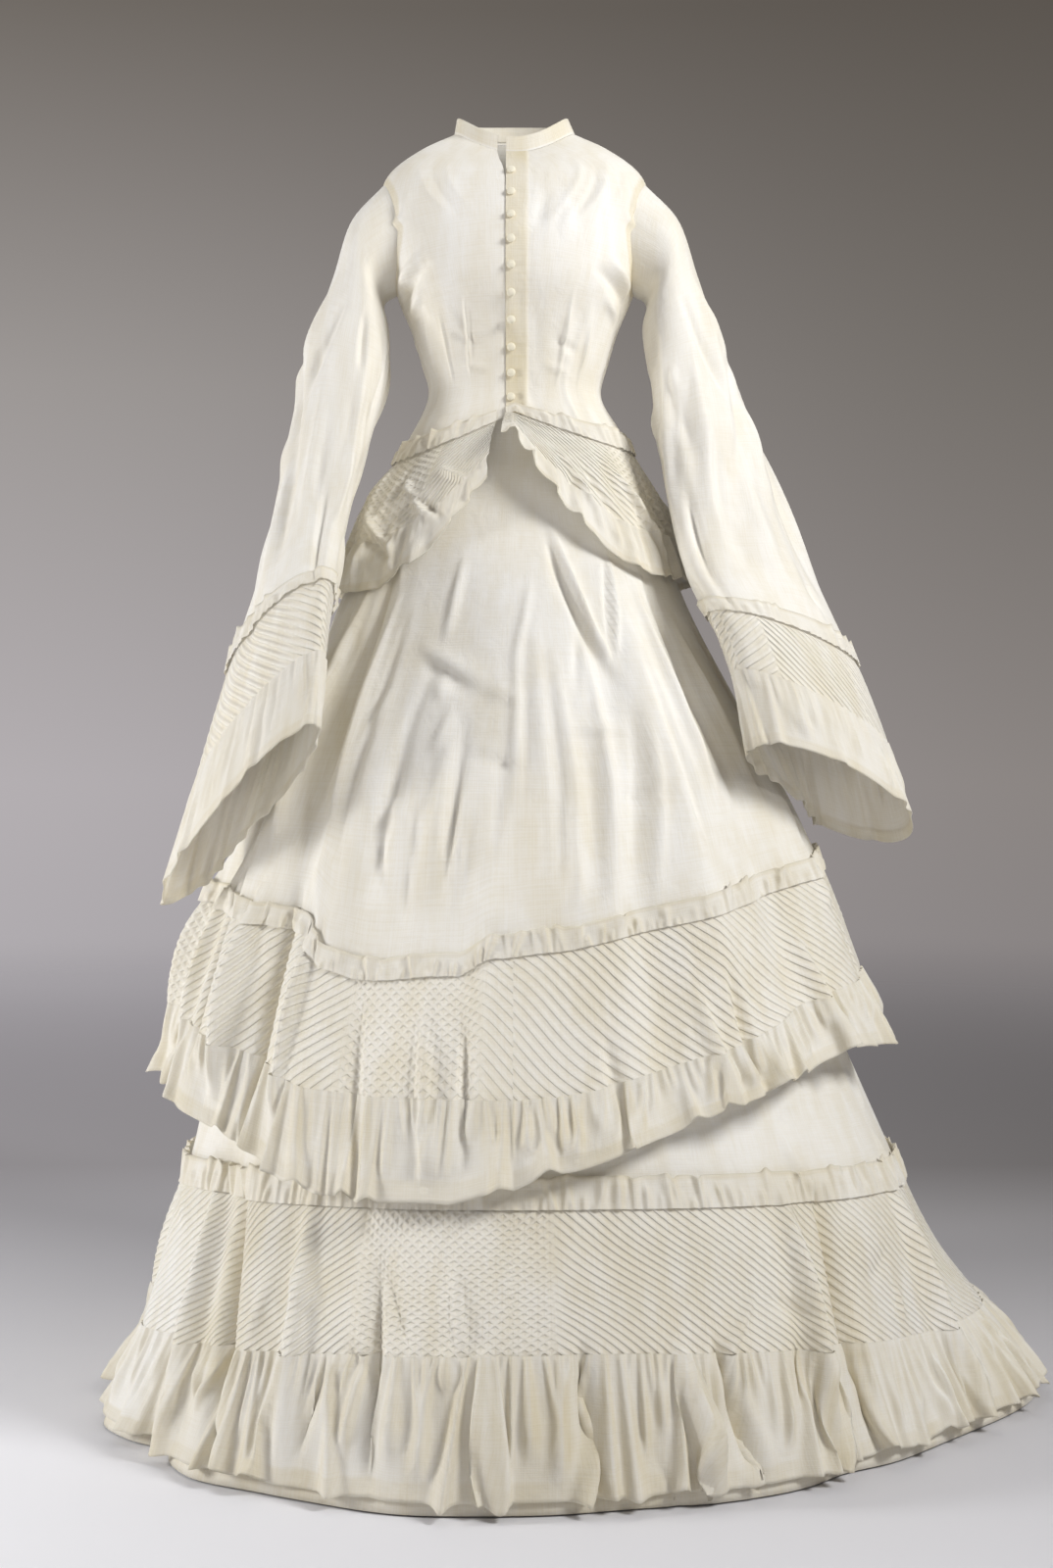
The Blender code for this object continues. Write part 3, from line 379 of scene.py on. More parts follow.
SleeveRing = namedtuple("SleeveRing", "x y z long short turn rise_front rise_out")
LEFT_SLEEVE = rows_of(
    SleeveRing,
    (0.17, 0.0, 1.31, 0.058, 0.018, 0, 0.0, 0.048),
    (0.18, 0.0, 1.262, 0.062, 0.032, 6, 0.0, 0.03),
    (0.198, -0.005, 1.19, 0.066, 0.042, 16, 0.0, 0.015),
    (0.222, -0.012, 1.107, 0.078, 0.052, 30, 0.0, 0.007),
    (0.248, -0.03, 1.012, 0.096, 0.05, 42, 0.005, 0.0),
    (0.274, -0.05, 0.932, 0.106, 0.05, 46, 0.012, 0.0),
    (0.2944, -0.065, 0.886, 0.1094, 0.0514, 47, 0.024, 0.0),
    (0.304, -0.072, 0.865, 0.111, 0.052, 48, 0.03, 0.0),
    (0.333, -0.084, 0.785, 0.118, 0.054, 48, 0.045, 0.0),
    (0.356, -0.088, 0.692, 0.125, 0.056, 48, 0.052, 0.018),
)
RIGHT_SLEEVE = rows_of(
    SleeveRing,
    (0.169, 0.0, 1.31, 0.058, 0.018, 0, 0.0, 0.048),
    (0.178, 0.0, 1.262, 0.062, 0.032, 5, 0.0, 0.03),
    (0.193, -0.005, 1.19, 0.064, 0.046, 10, 0.0, 0.015),
    (0.212, -0.02, 1.107, 0.068, 0.045, 18, 0.0, 0.007),
    (0.23, -0.052, 1.012, 0.072, 0.042, 25, 0.01, 0.0),
    (0.244, -0.092, 0.932, 0.08, 0.04, 31, 0.03, 0.0),
    (0.2532, -0.114, 0.89, 0.0866, 0.04, 36, 0.046, 0.0),
    (0.258, -0.125, 0.868, 0.09, 0.04, 38, 0.055, 0.0),
    (0.279, -0.15, 0.768, 0.107, 0.038, 44, 0.078, 0.0),
    (0.299, -0.166, 0.668, 0.125, 0.04, 46, 0.098, 0.0),
)
SLEEVE_LIMITS = [
    level(1.120, 0.138, 0.138, 0.095, 0.120),
    level(1.030, 0.190, 0.186, 0.112, 0.230),
    level(0.978, 0.212, 0.206, 0.130, 0.305),
    level(0.922, 0.230, 0.223, 0.148, 0.355),
    level(0.860, 0.250, 0.252, 0.180, 0.355),
    level(0.790, 0.282, 0.286, 0.214, 0.370),
    level(0.690, 0.324, 0.340, 0.252, 0.385),
    level(0.600, 0.356, 0.368, 0.280, 0.400),
    level(0.500, 0.386, 0.400, 0.320, 0.420),
]
# Soft folds down the sleeves. turn is where a fold is round the sleeve in degrees, 0 at its front and 90 outside.
SleeveCrease = namedtuple("SleeveCrease", "turn z to_turn to_z width depth")
SLEEVE_CREASES = rows_of(
    SleeveCrease,
    (20, 1.27, 75, 1.12, 0.008, -0.0045),
    (50, 1.29, 110, 1.15, 0.008, 0.004),
    (100, 1.23, 60, 1.02, 0.009, -0.0045),
    (30, 1.18, 40, 0.96, 0.009, 0.0045),
    (70, 1.08, 85, 0.9, 0.01, 0.005),
    (10, 1.06, 22, 0.88, 0.008, -0.004),
    (120, 1.16, 128, 0.9, 0.01, -0.005),
    (150, 1.15, 150, 0.93, 0.008, 0.004),
    (-20, 1.2, -10, 0.98, 0.008, 0.004),
    (-60, 1.1, -40, 0.9, 0.008, -0.003),
    (200, 1.2, 190, 0.96, 0.008, -0.004),
)
ARMHOLE_Z, ARMHOLE_HALF_HEIGHT, ARMHOLE_HALF_DEPTH = 1.335, 0.063, 0.053
SIDE_FROM = 0.08  # how far from the middle the bodice's sides begin
HEAD_IN = 0.001

# Bodice seams in degrees round from the centre front, for each ring
SIDE_SEAM = [105, 105, 105, 104, 100, 97, 96, 95, 95, 95, 95, 95]
BACK_SEAM = [105, 105, 105, 110, 117, 124, 131, 138, 146, 152, 155, 156]
SIDE_BACK_FIRST_RING = 3
FRONT_EDGE, NECK_GAPE, GAPE_END_RING = -0.0095, 0.010, 3
PANEL_GAP = 0.0003
PLACKET_START, PLACKET_END, PLACKET_BEHIND = -0.018, 0.008, 0.0024
PLACKET_TOP, PLACKET_BOTTOM = 1.346, 1.160
ALLOWANCE, ALLOWANCE_FADE, SEAM_DEPTH, SEAM_WIDTH = 0.005, 0.002, 0.0008, 0.0012
LAP_WIDTH, LAP_DEPTH, LAP_TONE, ARMHOLE_TONE = 0.023, 0.0012, 0.8, 0.75
BUTTON_COUNT, BUTTON_SPACING, LOWEST_BUTTON, BUTTON_X = 10, 0.0281, 1.1385, -0.0035
BUTTON_OUT, BUTTON_FLATNESS = 0.0036, 0.62  # how far out its middle is, and its thickness as a share of its width
BUTTON_IVORY, BUTTON_CREAM = "#F1ECDA", "#DDD3B4"

# How fine the meshes are: columns to each of the solids' columns, and the spacing of the rows in metres, or their count
GORE_COLUMNS, UNDER_APRON_SPACING, GORE_SPACING = 8, 0.024, 0.010
GORE_VISIBLE_RING = 5
UNDERSKIRT_BAND_COLUMNS, UNDERSKIRT_BAND_SPACING = 20, 0.0030
FLOUNCE_COLUMNS, FLOUNCE_ROWS, UNDERSKIRT_HEADING_ROWS = 30, 34, 11
APRON_COLUMNS, APRON_SPACING = 8, 0.0075
APRON_BAND_COLUMNS, APRON_BAND_SPACING = 17, 0.0032
APRON_FRILL_COLUMNS, APRON_FRILL_ROWS, APRON_HEADING_ROWS = 28, 22, 10
BODICE_SPACING, PEPLUM_SPACING, PEPLUM_FRILL_ROWS, PEPLUM_HEADING_ROWS = 0.0036, 0.0034, 22, 10
SLEEVE_COLUMNS, SLEEVE_SPACING, SLEEVE_BAND_SPACING = 200, 0.0055, 0.0030
SLEEVE_FRILL_ROWS, SLEEVE_HEADING_ROWS = 26, 9
FRONT_COLUMNS, SIDE_BACK_COLUMNS, BACK_COLUMNS = 110, 34, 44

# Gathered strips, in metres: from gather to gather, how deep they are where the strip is sewn and at its free edge,
# how wide the longest get there, how far they lean sideways, and how ragged the free edge is.
Ruffle = namedtuple("Ruffle", "pitch sewn_depth free_depth widest lean ragged")
FLOUNCE = Ruffle(0.0120, 0.0048, 0.0220, 0.011, 0.014, 0.006)
APRON_FRILL = Ruffle(0.0105, 0.0042, 0.0165, 0.009, 0.010, 0.006)
SKIRT_HEADING = Ruffle(0.0090, 0.0036, 0.0075, 0.004, 0.004, 0.005)
APRON_HEADING = Ruffle(0.0085, 0.0036, 0.0070, 0.004, 0.004, 0.005)
PEPLUM_FRILL = Ruffle(0.0100, 0.0030, 0.0090, 0.008, 0.006, 0.004)
PEPLUM_HEADING = Ruffle(0.0085, 0.0030, 0.0060, 0.003, 0.003, 0.003)
SLEEVE_FRILL = Ruffle(0.0100, 0.0030, 0.0090, 0.009, 0.006, 0.003)
SLEEVE_HEADING = Ruffle(0.0085, 0.0030, 0.0060, 0.003, 0.003, 0.003)
LEAST_AREA = 0.31  # the least share of its width times its length that a cut has
HEM_TONE = 0.5  # how creamy a hem looks, between 0 for one layer and 1 for the thickest folds
# Each gather's own size, width and steepness are drawn from these ranges, as shares, and its width where it is sewn
GATHER_SIZES, GATHER_SPREADS, GATHER_STEEPS, SEWN_WIDTHS = (0.25, 1.0), (0.35, 1.0), (0.35, 0.9), (0.0022, 0.0042)
LONG_GATHERS = 0.34  # the share of gathers that reach the free edge
LONG_REACH, SHORT_REACH = (1.3, 1.8), (0.30, 0.95)  # how far down the strip gathers go, as shares
# Ruffles are creamier all over, partly for their gathered layers and partly as painted shade.
RUFFLE_LAYERS_AND_SHADE_TONE, FOLD_TONE, MOST_TONE = 0.12, 0.5, 0.6  # how creamy ruffles are, more so on the sides of folds
SEWN_LIFT, FREE_LIFT = 0.0022, 0.0034
FLOUNCE_SHORT, FLOUNCE_LIFT = 0.012, 0.006

# Tucks lie in slanting rows. lean is +1 where they go down to the wearer's left and -1 down to the right, and 0 where
# both cross. A zone ends at its angle, in degrees, going round from the wearer's right.
Zone = namedtuple("Zone", "ends lean")
UNDERSKIRT_TUCKS = rows_of(Zone, (-150, 1), (-105, 0), (-23, -1), (5, 0), (95, 1), (140, 0), (180, -1))
APRON_TUCKS = rows_of(Zone, (-120, 1), (-80, 0), (-28, -1), (-5, 0), (100, 1), (140, 0), (180, -1))
PEPLUM_TUCKS = rows_of(Zone, (-100, -1), (-34, 0), (0, -1), (48, 1), (100, 0), (180, 1))
TUCK_LEANS = (1, -1)
TUCK_RISE, TUCK_CREST, TUCK_FALL = 0.45, 0.62, 0.16  # shares of a tuck's pitch: its slope up, its crest and its drop
ZONE_FADE = 3.0  # over how many degrees the tucks of one zone give way to the next one's
CROSSED_TUCKS = 0.85  # how high tucks are where both ways cross, as a share
TUCK_END = 0.006  # how long a tuck takes to rise at the edges of its band


# The studio. Each wall is colours at heights, the sine of the angle above the horizon. Far above they are the soft
# light from over the dress.
# Below the far light, the walls' colours are painted light and shade: the left wall lighter than the right one, and
# both darker upwards.
LIT_LEFT_WALL = [(0.0, "#AFABAF"), (0.10, "#B5B0B3"), (0.28, "#9E9997"), (0.44, "#706A64"), (0.70, "#8C8C90")]
SHADED_RIGHT_WALL = [(0.0, "#888383"), (0.10, "#8A8481"), (0.28, "#726D68"), (0.44, "#59534D"), (0.70, "#8C8C90")]
WALL_START = 0.10  # how far below the horizon the first of them is
WALL_HALF = 0.30  # how far to each side, as a sine, the left wall's colours turn into the right one's
# Each side of the floor is colours at depths, from FLOOR_NEAR in front of the dress to FLOOR_FAR behind it. They are
# painted light and shade: the left side lighter than the right, with a painted shadow band behind the dress.
FLOOR_NEAR, FLOOR_FAR, FLOOR_HALF = -1.5, 9.0, 14.0
FLOOR_FADES = (1.8, 8.0)  # how far from the middle the paper starts to fade into the wall, and where it has
LIT_LEFT_FLOOR = [(0.0, "#FFFFFF"), (0.125, "#F6F6FA"), (0.285, "#C2BEC0"), (0.62, "#FFFAFE")]
SHADED_RIGHT_FLOOR = [(0.0, "#DADADE"), (0.125, "#C8C6C8"), (0.285, "#8E8A88"), (0.62, "#BAB6B6")]
PAPER_HALF = 1.5  # how far to each side of the dress the left floor's colours turn into the right one's
CAMERA_AT, CAMERA_HEIGHT, LENS, SENSOR = (0.0136, -2.5), 0.705, 49.5, 36.0
Lamp = namedtuple("Lamp", "name place aim size power")
LAMPS = rows_of(
    Lamp,
    ("high_right", (1.9, -1.5, 0.8), (0.05, 0.0, 0.40), 0.8, 62.0),
    ("low_left", (-2.6, -0.6, -0.3), (0.0, 0.0, -1.3), 0.7, 40.0),
    ("overhead", (-0.3, 0.5, 2.0), (0.0, 0.1, -0.6), 1.5, 10.0),
)


def turned(angle):
    """The same angle between minus and plus half a turn."""
    return (angle + math.pi) % FULL_TURN - math.pi


def smooth(share):
    share = np.clip(share, 0.0, 1.0)
    return share * share * (3 - 2 * share)


def section_points(section, angles):
    """Points of a ring at an array of angles, 0 at the centre front and growing to the wearer's left."""
    angles = turned(np.asarray(angles, dtype=float))
    across, along = np.sin(angles), np.cos(angles)
    left, behind = across > 0, along < 0
    half_width = np.where(left, section.left, section.right)
    side_z = np.where(left, section.z_left, section.z_right)
    half_depth = np.where(behind, section.back, section.front)
    end_z = np.where(behind, section.z_back, section.z_front)
    weight = along * along
    x = half_width * across + np.where(behind, section.swing * weight, 0.0)
    if section.peak is not None:
        pointed = np.maximum(0.0, 1 - np.abs(np.degrees(angles)) / section.peak) ** 2
        weight = np.where(behind, weight, pointed)
    z = side_z + (end_z - side_z) * weight - HOLD_HEIGHT
    return np.stack([x, -half_depth * along, z], axis=-1)


def even_angles(section, count):
    """Angles that share out a ring's length evenly, from the centre front all the way round."""
    fine = np.linspace(0.0, FULL_TURN, 1441)
    steps = np.linalg.norm(np.diff(section_points(section, fine), axis=0), axis=1)
    lengths = np.concatenate([[0.0], np.cumsum(steps)])
    return np.interp(np.arange(count) / count * lengths[-1], lengths, fine)


def flowing(rings, places):
    """Points on smooth lines down through rings of points, at places such as 2.5 rings down."""
    step = np.linalg.norm(np.diff(rings, axis=0), axis=2).mean(axis=1)[:, None, None]
    slope = np.diff(rings, axis=0) / step
    lean = np.empty_like(rings)
    lean[0], lean[-1] = slope[0], slope[-1]
    lean[1:-1] = (slope[:-1] * step[1:] + slope[1:] * step[:-1]) / (step[1:] + step[:-1])
    places = np.asarray(places, dtype=float)
    if places.ndim == 1:
        places = np.repeat(places[:, None], rings.shape[1], axis=1)
    row = np.minimum(places.astype(int), len(rings) - 2)
    column = np.arange(rings.shape[1])[None, :]
    t = (places - row)[..., None]
    length = step[row, 0]
    above, below = rings[row, column], rings[row + 1, column]
    from_above, into_below = lean[row, column] * length, lean[row + 1, column] * length
    return (
        (2 * t**3 - 3 * t**2 + 1) * above
        + (t**3 - 2 * t**2 + t) * from_above
        + (3 * t**2 - 2 * t**3) * below
        + (t**3 - t**2) * into_below
    )


def places_down(rings, first, last, spacing):
    """Places from one ring down to another, about so far apart on the cloth."""
    found = []
    for row in range(first, last):
        length = np.linalg.norm(rings[row + 1] - rings[row], axis=1).mean()
        count = max(1, round(length / spacing))
        found += [row + k / count for k in range(count)]
    return np.array(found + [float(last)])


def crease_push(creases, degrees, z, radius):
    """How far creases move points out; radius turns degrees into a length round the piece."""
    push = np.zeros(np.broadcast(degrees, z).shape)
    for angle, height, to_angle, to_height, width, depth in creases:
        along = np.array([math.radians(to_angle - angle) * radius, to_height - height])
        x = np.radians((degrees - angle + 180) % 360 - 180) * radius
        y = z - height
        share = np.clip((x * along[0] + y * along[1]) / (along @ along), 0.0, 1.0)
        away = np.hypot(x - share * along[0], y - share * along[1]) / width
        push += depth * np.exp(-away * away) * np.sin(math.pi * share) ** CREASE_ENDS
    return push * bpy.context.scene.dress_sizes.crease_depth


def small_creases(scatter):
    """Faint creases, most of them nearer upright than level."""
    random = np.random.default_rng(scatter.seed)
    made = []
    for _ in range(scatter.count):
        angle = random.uniform(-scatter.half_turn, scatter.half_turn)
        z = random.uniform(scatter.lowest, scatter.highest)
        long, lean = random.uniform(*SMALL_LENGTH), random.uniform(-SMALL_LEAN, SMALL_LEAN)
        depth = random.choice([-1, 1]) * random.uniform(*SMALL_DEPTH)
        made.append(Crease(angle, z, angle + lean, z - long, random.uniform(*SMALL_WIDTH), depth))
    return made


def fold_push(folds, angles, z):
    push = np.zeros_like(z)
    for fold in folds:
        away = np.degrees(turned(angles - math.radians(fold.angle))) / fold.width
        push += fold.depth * np.exp(-away * away) * smooth((fold.begins - z) / (fold.begins - fold.ends))
    return push


def puff_push(angles, z):
    down = (PUFF_TOP - z) / (PUFF_TOP - PUFF_BOTTOM)
    swell = np.abs(np.sin(math.pi * PUFF_COUNT * np.clip(down, 0.0, 1.0)))
    return PUFF_DEPTH * np.maximum(0.0, -np.cos(angles)) * swell


def moved_out(points, push):
    """Points moved straight out from the upright axis."""
    flat = points * np.array([1.0, 1.0, 0.0])
    return points + flat / np.maximum(np.linalg.norm(flat, axis=-1, keepdims=True), 1e-9) * push[..., None]


# A piece of cloth: points in rows and columns, their outward normals, how creamy each looks from -1 to 1 (doubled and
# folded cloth is creamier, and cloth lying tight on its layer below is whiter), whether each row goes all the way
# round, the lengths across and down it, and for tucked cloth how strong the tucks of each direction are.
Cloth = namedtuple("Cloth", "points normals doubled closed across down tucks", defaults=(None,))


def cloth(points, closed):
    beside = np.roll(points, -1, axis=1)
    if closed:
        across = beside - np.roll(points, 1, axis=1)
    else:
        across = np.gradient(points, axis=1)
    normals = np.cross(np.gradient(points, axis=0), across)
    normals /= np.maximum(np.linalg.norm(normals, axis=-1, keepdims=True), 1e-12)
    steps = np.linalg.norm(beside - points, axis=2).mean(axis=0)
    drops = np.linalg.norm(np.diff(points, axis=0), axis=2).mean(axis=1)
    lengths = [np.concatenate([[0.0], np.cumsum(part)]) for part in (steps, drops)]
    return Cloth(points, normals, np.zeros(points.shape[:2]), closed, *lengths)


def cut(whole, rows=None, columns=None):
    """A piece from a sheet: its rows first to last, and its columns first to last going round."""
    first, last = rows or (0, len(whole.points) - 1)
    picked = [part[first : last + 1] for part in whole[:3]]
    down = whole.down[first : last + 1]
    if columns is None:
        return Cloth(*picked, whole.closed, whole.across, down)
    wanted = np.arange(columns[0], columns[1] + 1) % whole.points.shape[1]
    across = np.concatenate([[0.0], np.cumsum(np.diff(whole.across)[wanted])])
    return Cloth(*[part[:, wanted] for part in picked], False, across, down)


def pushed(piece, push, doubled=None):
    """The piece moved along its normals, with more of it marked as doubled."""
    points = piece.points + piece.normals * np.asarray(push)[..., None]
    marked = piece.doubled if doubled is None else np.maximum(piece.doubled, doubled)
    return piece._replace(points=points, doubled=marked)


def row_length(row, closed):
    steps = np.linalg.norm(np.diff(row, axis=0), axis=1).sum()
    return steps + (np.linalg.norm(row[0] - row[-1]) if closed else 0.0)


def gathered(piece, ruffle, seed, free_top=False):
    """The strip in uneven gathers.

    Each is a ridge of its own, steeper on one side, that widens and leans on its way to the free edge. More than half
    of them die out on the way.
    """
    rows, columns = piece.points.shape[:2]
    along = piece.across[None, :columns]
    length = row_length(piece.points[0], piece.closed)
    down = np.linspace(0.0, 1.0, rows)[:, None]
    if free_top:
        down = down[::-1]
    random = np.random.default_rng(seed)
    push, ragged = np.zeros((rows, columns)), np.zeros((rows, columns))
    spots = np.cumsum(random.uniform(0.4, 1.6, round(length / ruffle.pitch)))
    for spot in spots / spots[-1] * length:
        size, spread, steep = (random.uniform(*ends) for ends in (GATHER_SIZES, GATHER_SPREADS, GATHER_STEEPS))
        sewn_width, lean = random.uniform(*SEWN_WIDTHS), random.normal(0.0, ruffle.lean)
        side = random.choice([-1, 1])
        reach = random.uniform(*(LONG_REACH if random.random() < LONG_GATHERS else SHORT_REACH))
        away = along - spot - lean * down
        if piece.closed:
            away = (away + length / 2) % length - length / 2
        width = (sewn_width + ruffle.widest * spread * down) * np.where(away * side > 0, steep, 1.0)
        shape = np.exp(-np.minimum((away / width) ** 2, 20.0)) * smooth((reach - down) / 0.35)
        push += size * (ruffle.sewn_depth * (1 - down) + ruffle.free_depth * down) * shape
        ragged += ruffle.ragged * random.uniform(-1.0, 1.0) * shape * down**2
    limit = ruffle.sewn_depth * 1.4 * (1 - down) + ruffle.free_depth * 1.25 * down
    push = limit * np.tanh(push / limit)
    # Cloth seen on its edge in the side of a fold is more opaque, and looks creamier.
    steepness = np.abs(np.gradient(push, axis=1)) / np.maximum(np.gradient(piece.across[:columns]), 1e-6)[None, :]
    # Every gathered strip is made creamier all over, partly for its layers and partly as painted shade.
    made = pushed(piece, push, np.clip(RUFFLE_LAYERS_AND_SHADE_TONE + FOLD_TONE * steepness, 0.0, MOST_TONE))
    drop = np.gradient(piece.points, axis=0)
    drop /= np.maximum(np.linalg.norm(drop, axis=-1, keepdims=True), 1e-9)
    return made._replace(points=made.points + drop * ragged[..., None])


def hemmed(piece, rows, gap=0.0009, top=False):
    """The piece with its lower or upper edge turned back inside by so many rows."""
    order = slice(None, None, -1) if top else slice(None)
    points, normals, doubled = (part[order] for part in piece[:3])
    down = piece.down[order]
    turned_up = [points[-1 - k] - normals[-1 - k] * gap for k in (0, rows)]
    points = np.concatenate([points, turned_up])
    normals = np.concatenate([normals, [normals[-1], normals[-1 - rows]]])
    doubled = np.concatenate([doubled, np.full((2, doubled.shape[1]), HEM_TONE)])
    doubled[-3 - rows :] = np.maximum(doubled[-3 - rows :], HEM_TONE)
    down = np.concatenate([down, [down[-1], 2 * down[-1] - down[-1 - rows]]])
    return piece._replace(points=points[order], normals=normals[order], doubled=doubled[order], down=down[order])


def tucked(piece, zones, angles, sizes):
    """The band with its slanting tucks raised, each lying to one side."""
    across, down = piece.across[None, : piece.points.shape[1]], piece.down[:, None]
    degrees = np.degrees(turned(angles))
    strong = {lean: np.zeros_like(degrees) for lean in (-1, 0, 1)}
    begins = -180.0
    for zone in zones:
        inside = smooth((degrees - begins) / ZONE_FADE + 0.5) * smooth((zone.ends - degrees) / ZONE_FADE + 0.5)
        strong[zone.lean] = np.maximum(strong[zone.lean], inside)
        begins = zone.ends
    tucks = np.stack([np.maximum(strong[lean], strong[0] * CROSSED_TUCKS) for lean in TUCK_LEANS], axis=-1)
    raised = np.zeros(piece.points.shape[:2])
    for k, lean in enumerate(TUCK_LEANS):
        share = tuck_place(across, down, lean, sizes) % 1.0
        one = smooth(share / TUCK_RISE) * (1 - smooth((share - TUCK_CREST) / TUCK_FALL))
        raised = np.maximum(raised, one * tucks[None, :, k])
    edge = smooth(down / TUCK_END) * smooth((down[-1] - down) / TUCK_END)
    # Slow waves along and down the band, so that tucks are pressed flat in some places and stand up in others
    waves = np.sin(across / 0.047 + 2.0 * np.sin(across / 0.19)) * np.sin(down / 0.021 + across / 0.06)
    made = pushed(piece, sizes.tuck_height * raised * edge * (0.8 + 0.35 * waves))
    return made._replace(tucks=tucks)


def tuck_place(across, down, lean, sizes):
    """Which tuck a place on a band is at, counted along the band. No tuck is quite straight, as hand work isn't."""
    slope = math.radians(sizes.tuck_slope)
    straight = (down * math.cos(slope) - lean * across * math.sin(slope)) / sizes.tuck_pitch
    return straight + 0.30 * np.sin(across / 0.037) * np.cos(down / 0.029) + 0.45 * np.sin(across / 0.21 + lean)


def patched(piece, patches, degrees):
    """The piece with its whiter and creamier places, degrees being each point's angle round."""
    z = piece.points[..., 2] + HOLD_HEIGHT
    tone = np.zeros(piece.points.shape[:2])
    for patch in patches:
        away = ((degrees - patch.angle + 180) % 360 - 180) / patch.width
        tone = tone + patch.amount * np.exp(-(away**2) - ((z - patch.z) / patch.height) ** 2)
    return piece._replace(doubled=np.clip(piece.doubled + tone, -1.0, 1.0))


def make_mesh(name, piece, material, keep=None):
    """A mesh of the piece, with its UV map in metres across and down the cloth. keep says which facets stay."""
    rows, columns = piece.points.shape[:2]
    spans = columns if piece.closed else columns - 1
    i, j = (part.ravel() for part in np.meshgrid(np.arange(rows - 1), np.arange(spans), indexing="ij"))
    if keep is not None:
        i, j = i[keep.ravel()], j[keep.ravel()]
    corner_rows = np.stack([i, i + 1, i + 1, i], axis=1)
    corner_columns = np.stack([j, j, j + 1, j + 1], axis=1)
    corners = corner_rows * columns + corner_columns % columns
    used, corners = np.unique(corners, return_inverse=True)
    mesh = bpy.data.meshes.new(name)
    mesh.vertices.add(len(used))
    mesh.vertices.foreach_set("co", piece.points.reshape(-1, 3)[used].ravel())
    mesh.loops.add(corners.size)
    mesh.loops.foreach_set("vertex_index", corners.ravel())
    mesh.polygons.add(len(i))
    mesh.polygons.foreach_set("loop_start", np.arange(len(i)) * 4)
    mesh.update(calc_edges=True)
    mesh.shade_smooth()
    across, down = piece.across[corner_columns], piece.down[corner_rows]
    mesh.uv_layers.new(name="cloth").data.foreach_set("uv", np.stack([across, -down], axis=-1).ravel())
    marked = mesh.attributes.new("doubled", "FLOAT", "POINT")
    marked.data.foreach_set("value", piece.doubled.ravel()[used])
    if piece.tucks is not None:
        sizes = bpy.context.scene.dress_sizes
        places = np.stack([tuck_place(across, down, lean, sizes) for lean in TUCK_LEANS], axis=-1)
        mesh.uv_layers.new(name="tucks").data.foreach_set("uv", places.ravel())
        strong = np.zeros((len(used), 3))
        strong[:, :2] = piece.tucks[used % columns]
        mesh.attributes.new("tucks_each_way", "FLOAT_VECTOR", "POINT").data.foreach_set("vector", strong.ravel())
    mesh.materials.append(material)
    made = bpy.data.objects.new(name, mesh)
    bpy.context.scene.collection.objects.link(made)
    return made


def cut_size(piece):
    """The widest and longest that the piece is along its cloth."""
    width = max(row_length(row, piece.closed) for row in piece.points)
    length = np.linalg.norm(np.diff(piece.points, axis=0), axis=2).sum(axis=0).max()
    return width, length


def dressed(piece, node, kind, keep=None):
    """Makes the mesh of a piece of one kind of lawn, hangs it on the root and hides the solid that it stands for."""
    made = make_mesh(f"cloth_{node}", piece, lawns(kind), keep)
    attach(made, "root")
    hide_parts(node)
    width, length = cut_size(piece)
    area = sum(polygon.area for polygon in made.data.polygons)
    area = min(max(area, LEAST_AREA * width * length), width * length)


def heading(strip, ruffle, seed, node):
    """Makes the small ruffle over a band, its free edge upwards and standing further out."""
    lift = np.linspace(FREE_LIFT, SEWN_LIFT, len(strip.points))[:, None]
    strip = gathered(pushed(strip, lift), ruffle, seed, free_top=True)
    dressed(hemmed(strip, 1, top=True), node, "frilled")


def linear(colour):
    """An sRGB hex colour as linear numbers with alpha 1."""
    parts = [int(colour[k : k + 2], 16) / 255 for k in (1, 3, 5)]
    return tuple(c / 12.92 if c <= 0.04045 else ((c + 0.055) / 1.055) ** 2.4 for c in parts) + (1.0,)


def add_node(tree, kind, settings=(), links=()):
    """A node with its settings and its inputs. Each link is an input and the output or value that goes there."""
    made = tree.nodes.new(kind)
    for name, value in dict(settings).items():
        setattr(made, name, value)
    for name, value in dict(links).items():
        if isinstance(value, bpy.types.NodeSocket):
            tree.links.new(value, made.inputs[name])
        else:
            made.inputs[name].default_value = value
    return made


def maths(tree, operation, *values, clamp=False):
    """The result of a sum in the node tree."""
    node = add_node(tree, "ShaderNodeMath", {"operation": operation, "use_clamp": clamp}, dict(enumerate(values)))
    return node.outputs[0]


def mapped(tree, value, low, high, to_low, to_high):
    """A value between low and high, smoothly turned into one between to_low and to_high."""
    ends = {"Value": value, "From Min": low, "From Max": high, "To Min": to_low, "To Max": to_high}
    return add_node(tree, "ShaderNodeMapRange", {"interpolation_type": "SMOOTHSTEP"}, ends).outputs[0]


def mixed(tree, share, first, second):
    """A colour between two colours, or between the colours of two sockets."""
    node = add_node(tree, "ShaderNodeMix", {"data_type": "RGBA"})
    sockets = [node.inputs["Factor"], *[socket for socket in node.inputs if socket.type == "RGBA"]]
    for socket, value in zip(sockets, (share, first, second)):
        if isinstance(value, bpy.types.NodeSocket):
            tree.links.new(value, socket)
        else:
            socket.default_value = value
    return next(socket for socket in node.outputs if socket.type == "RGBA")


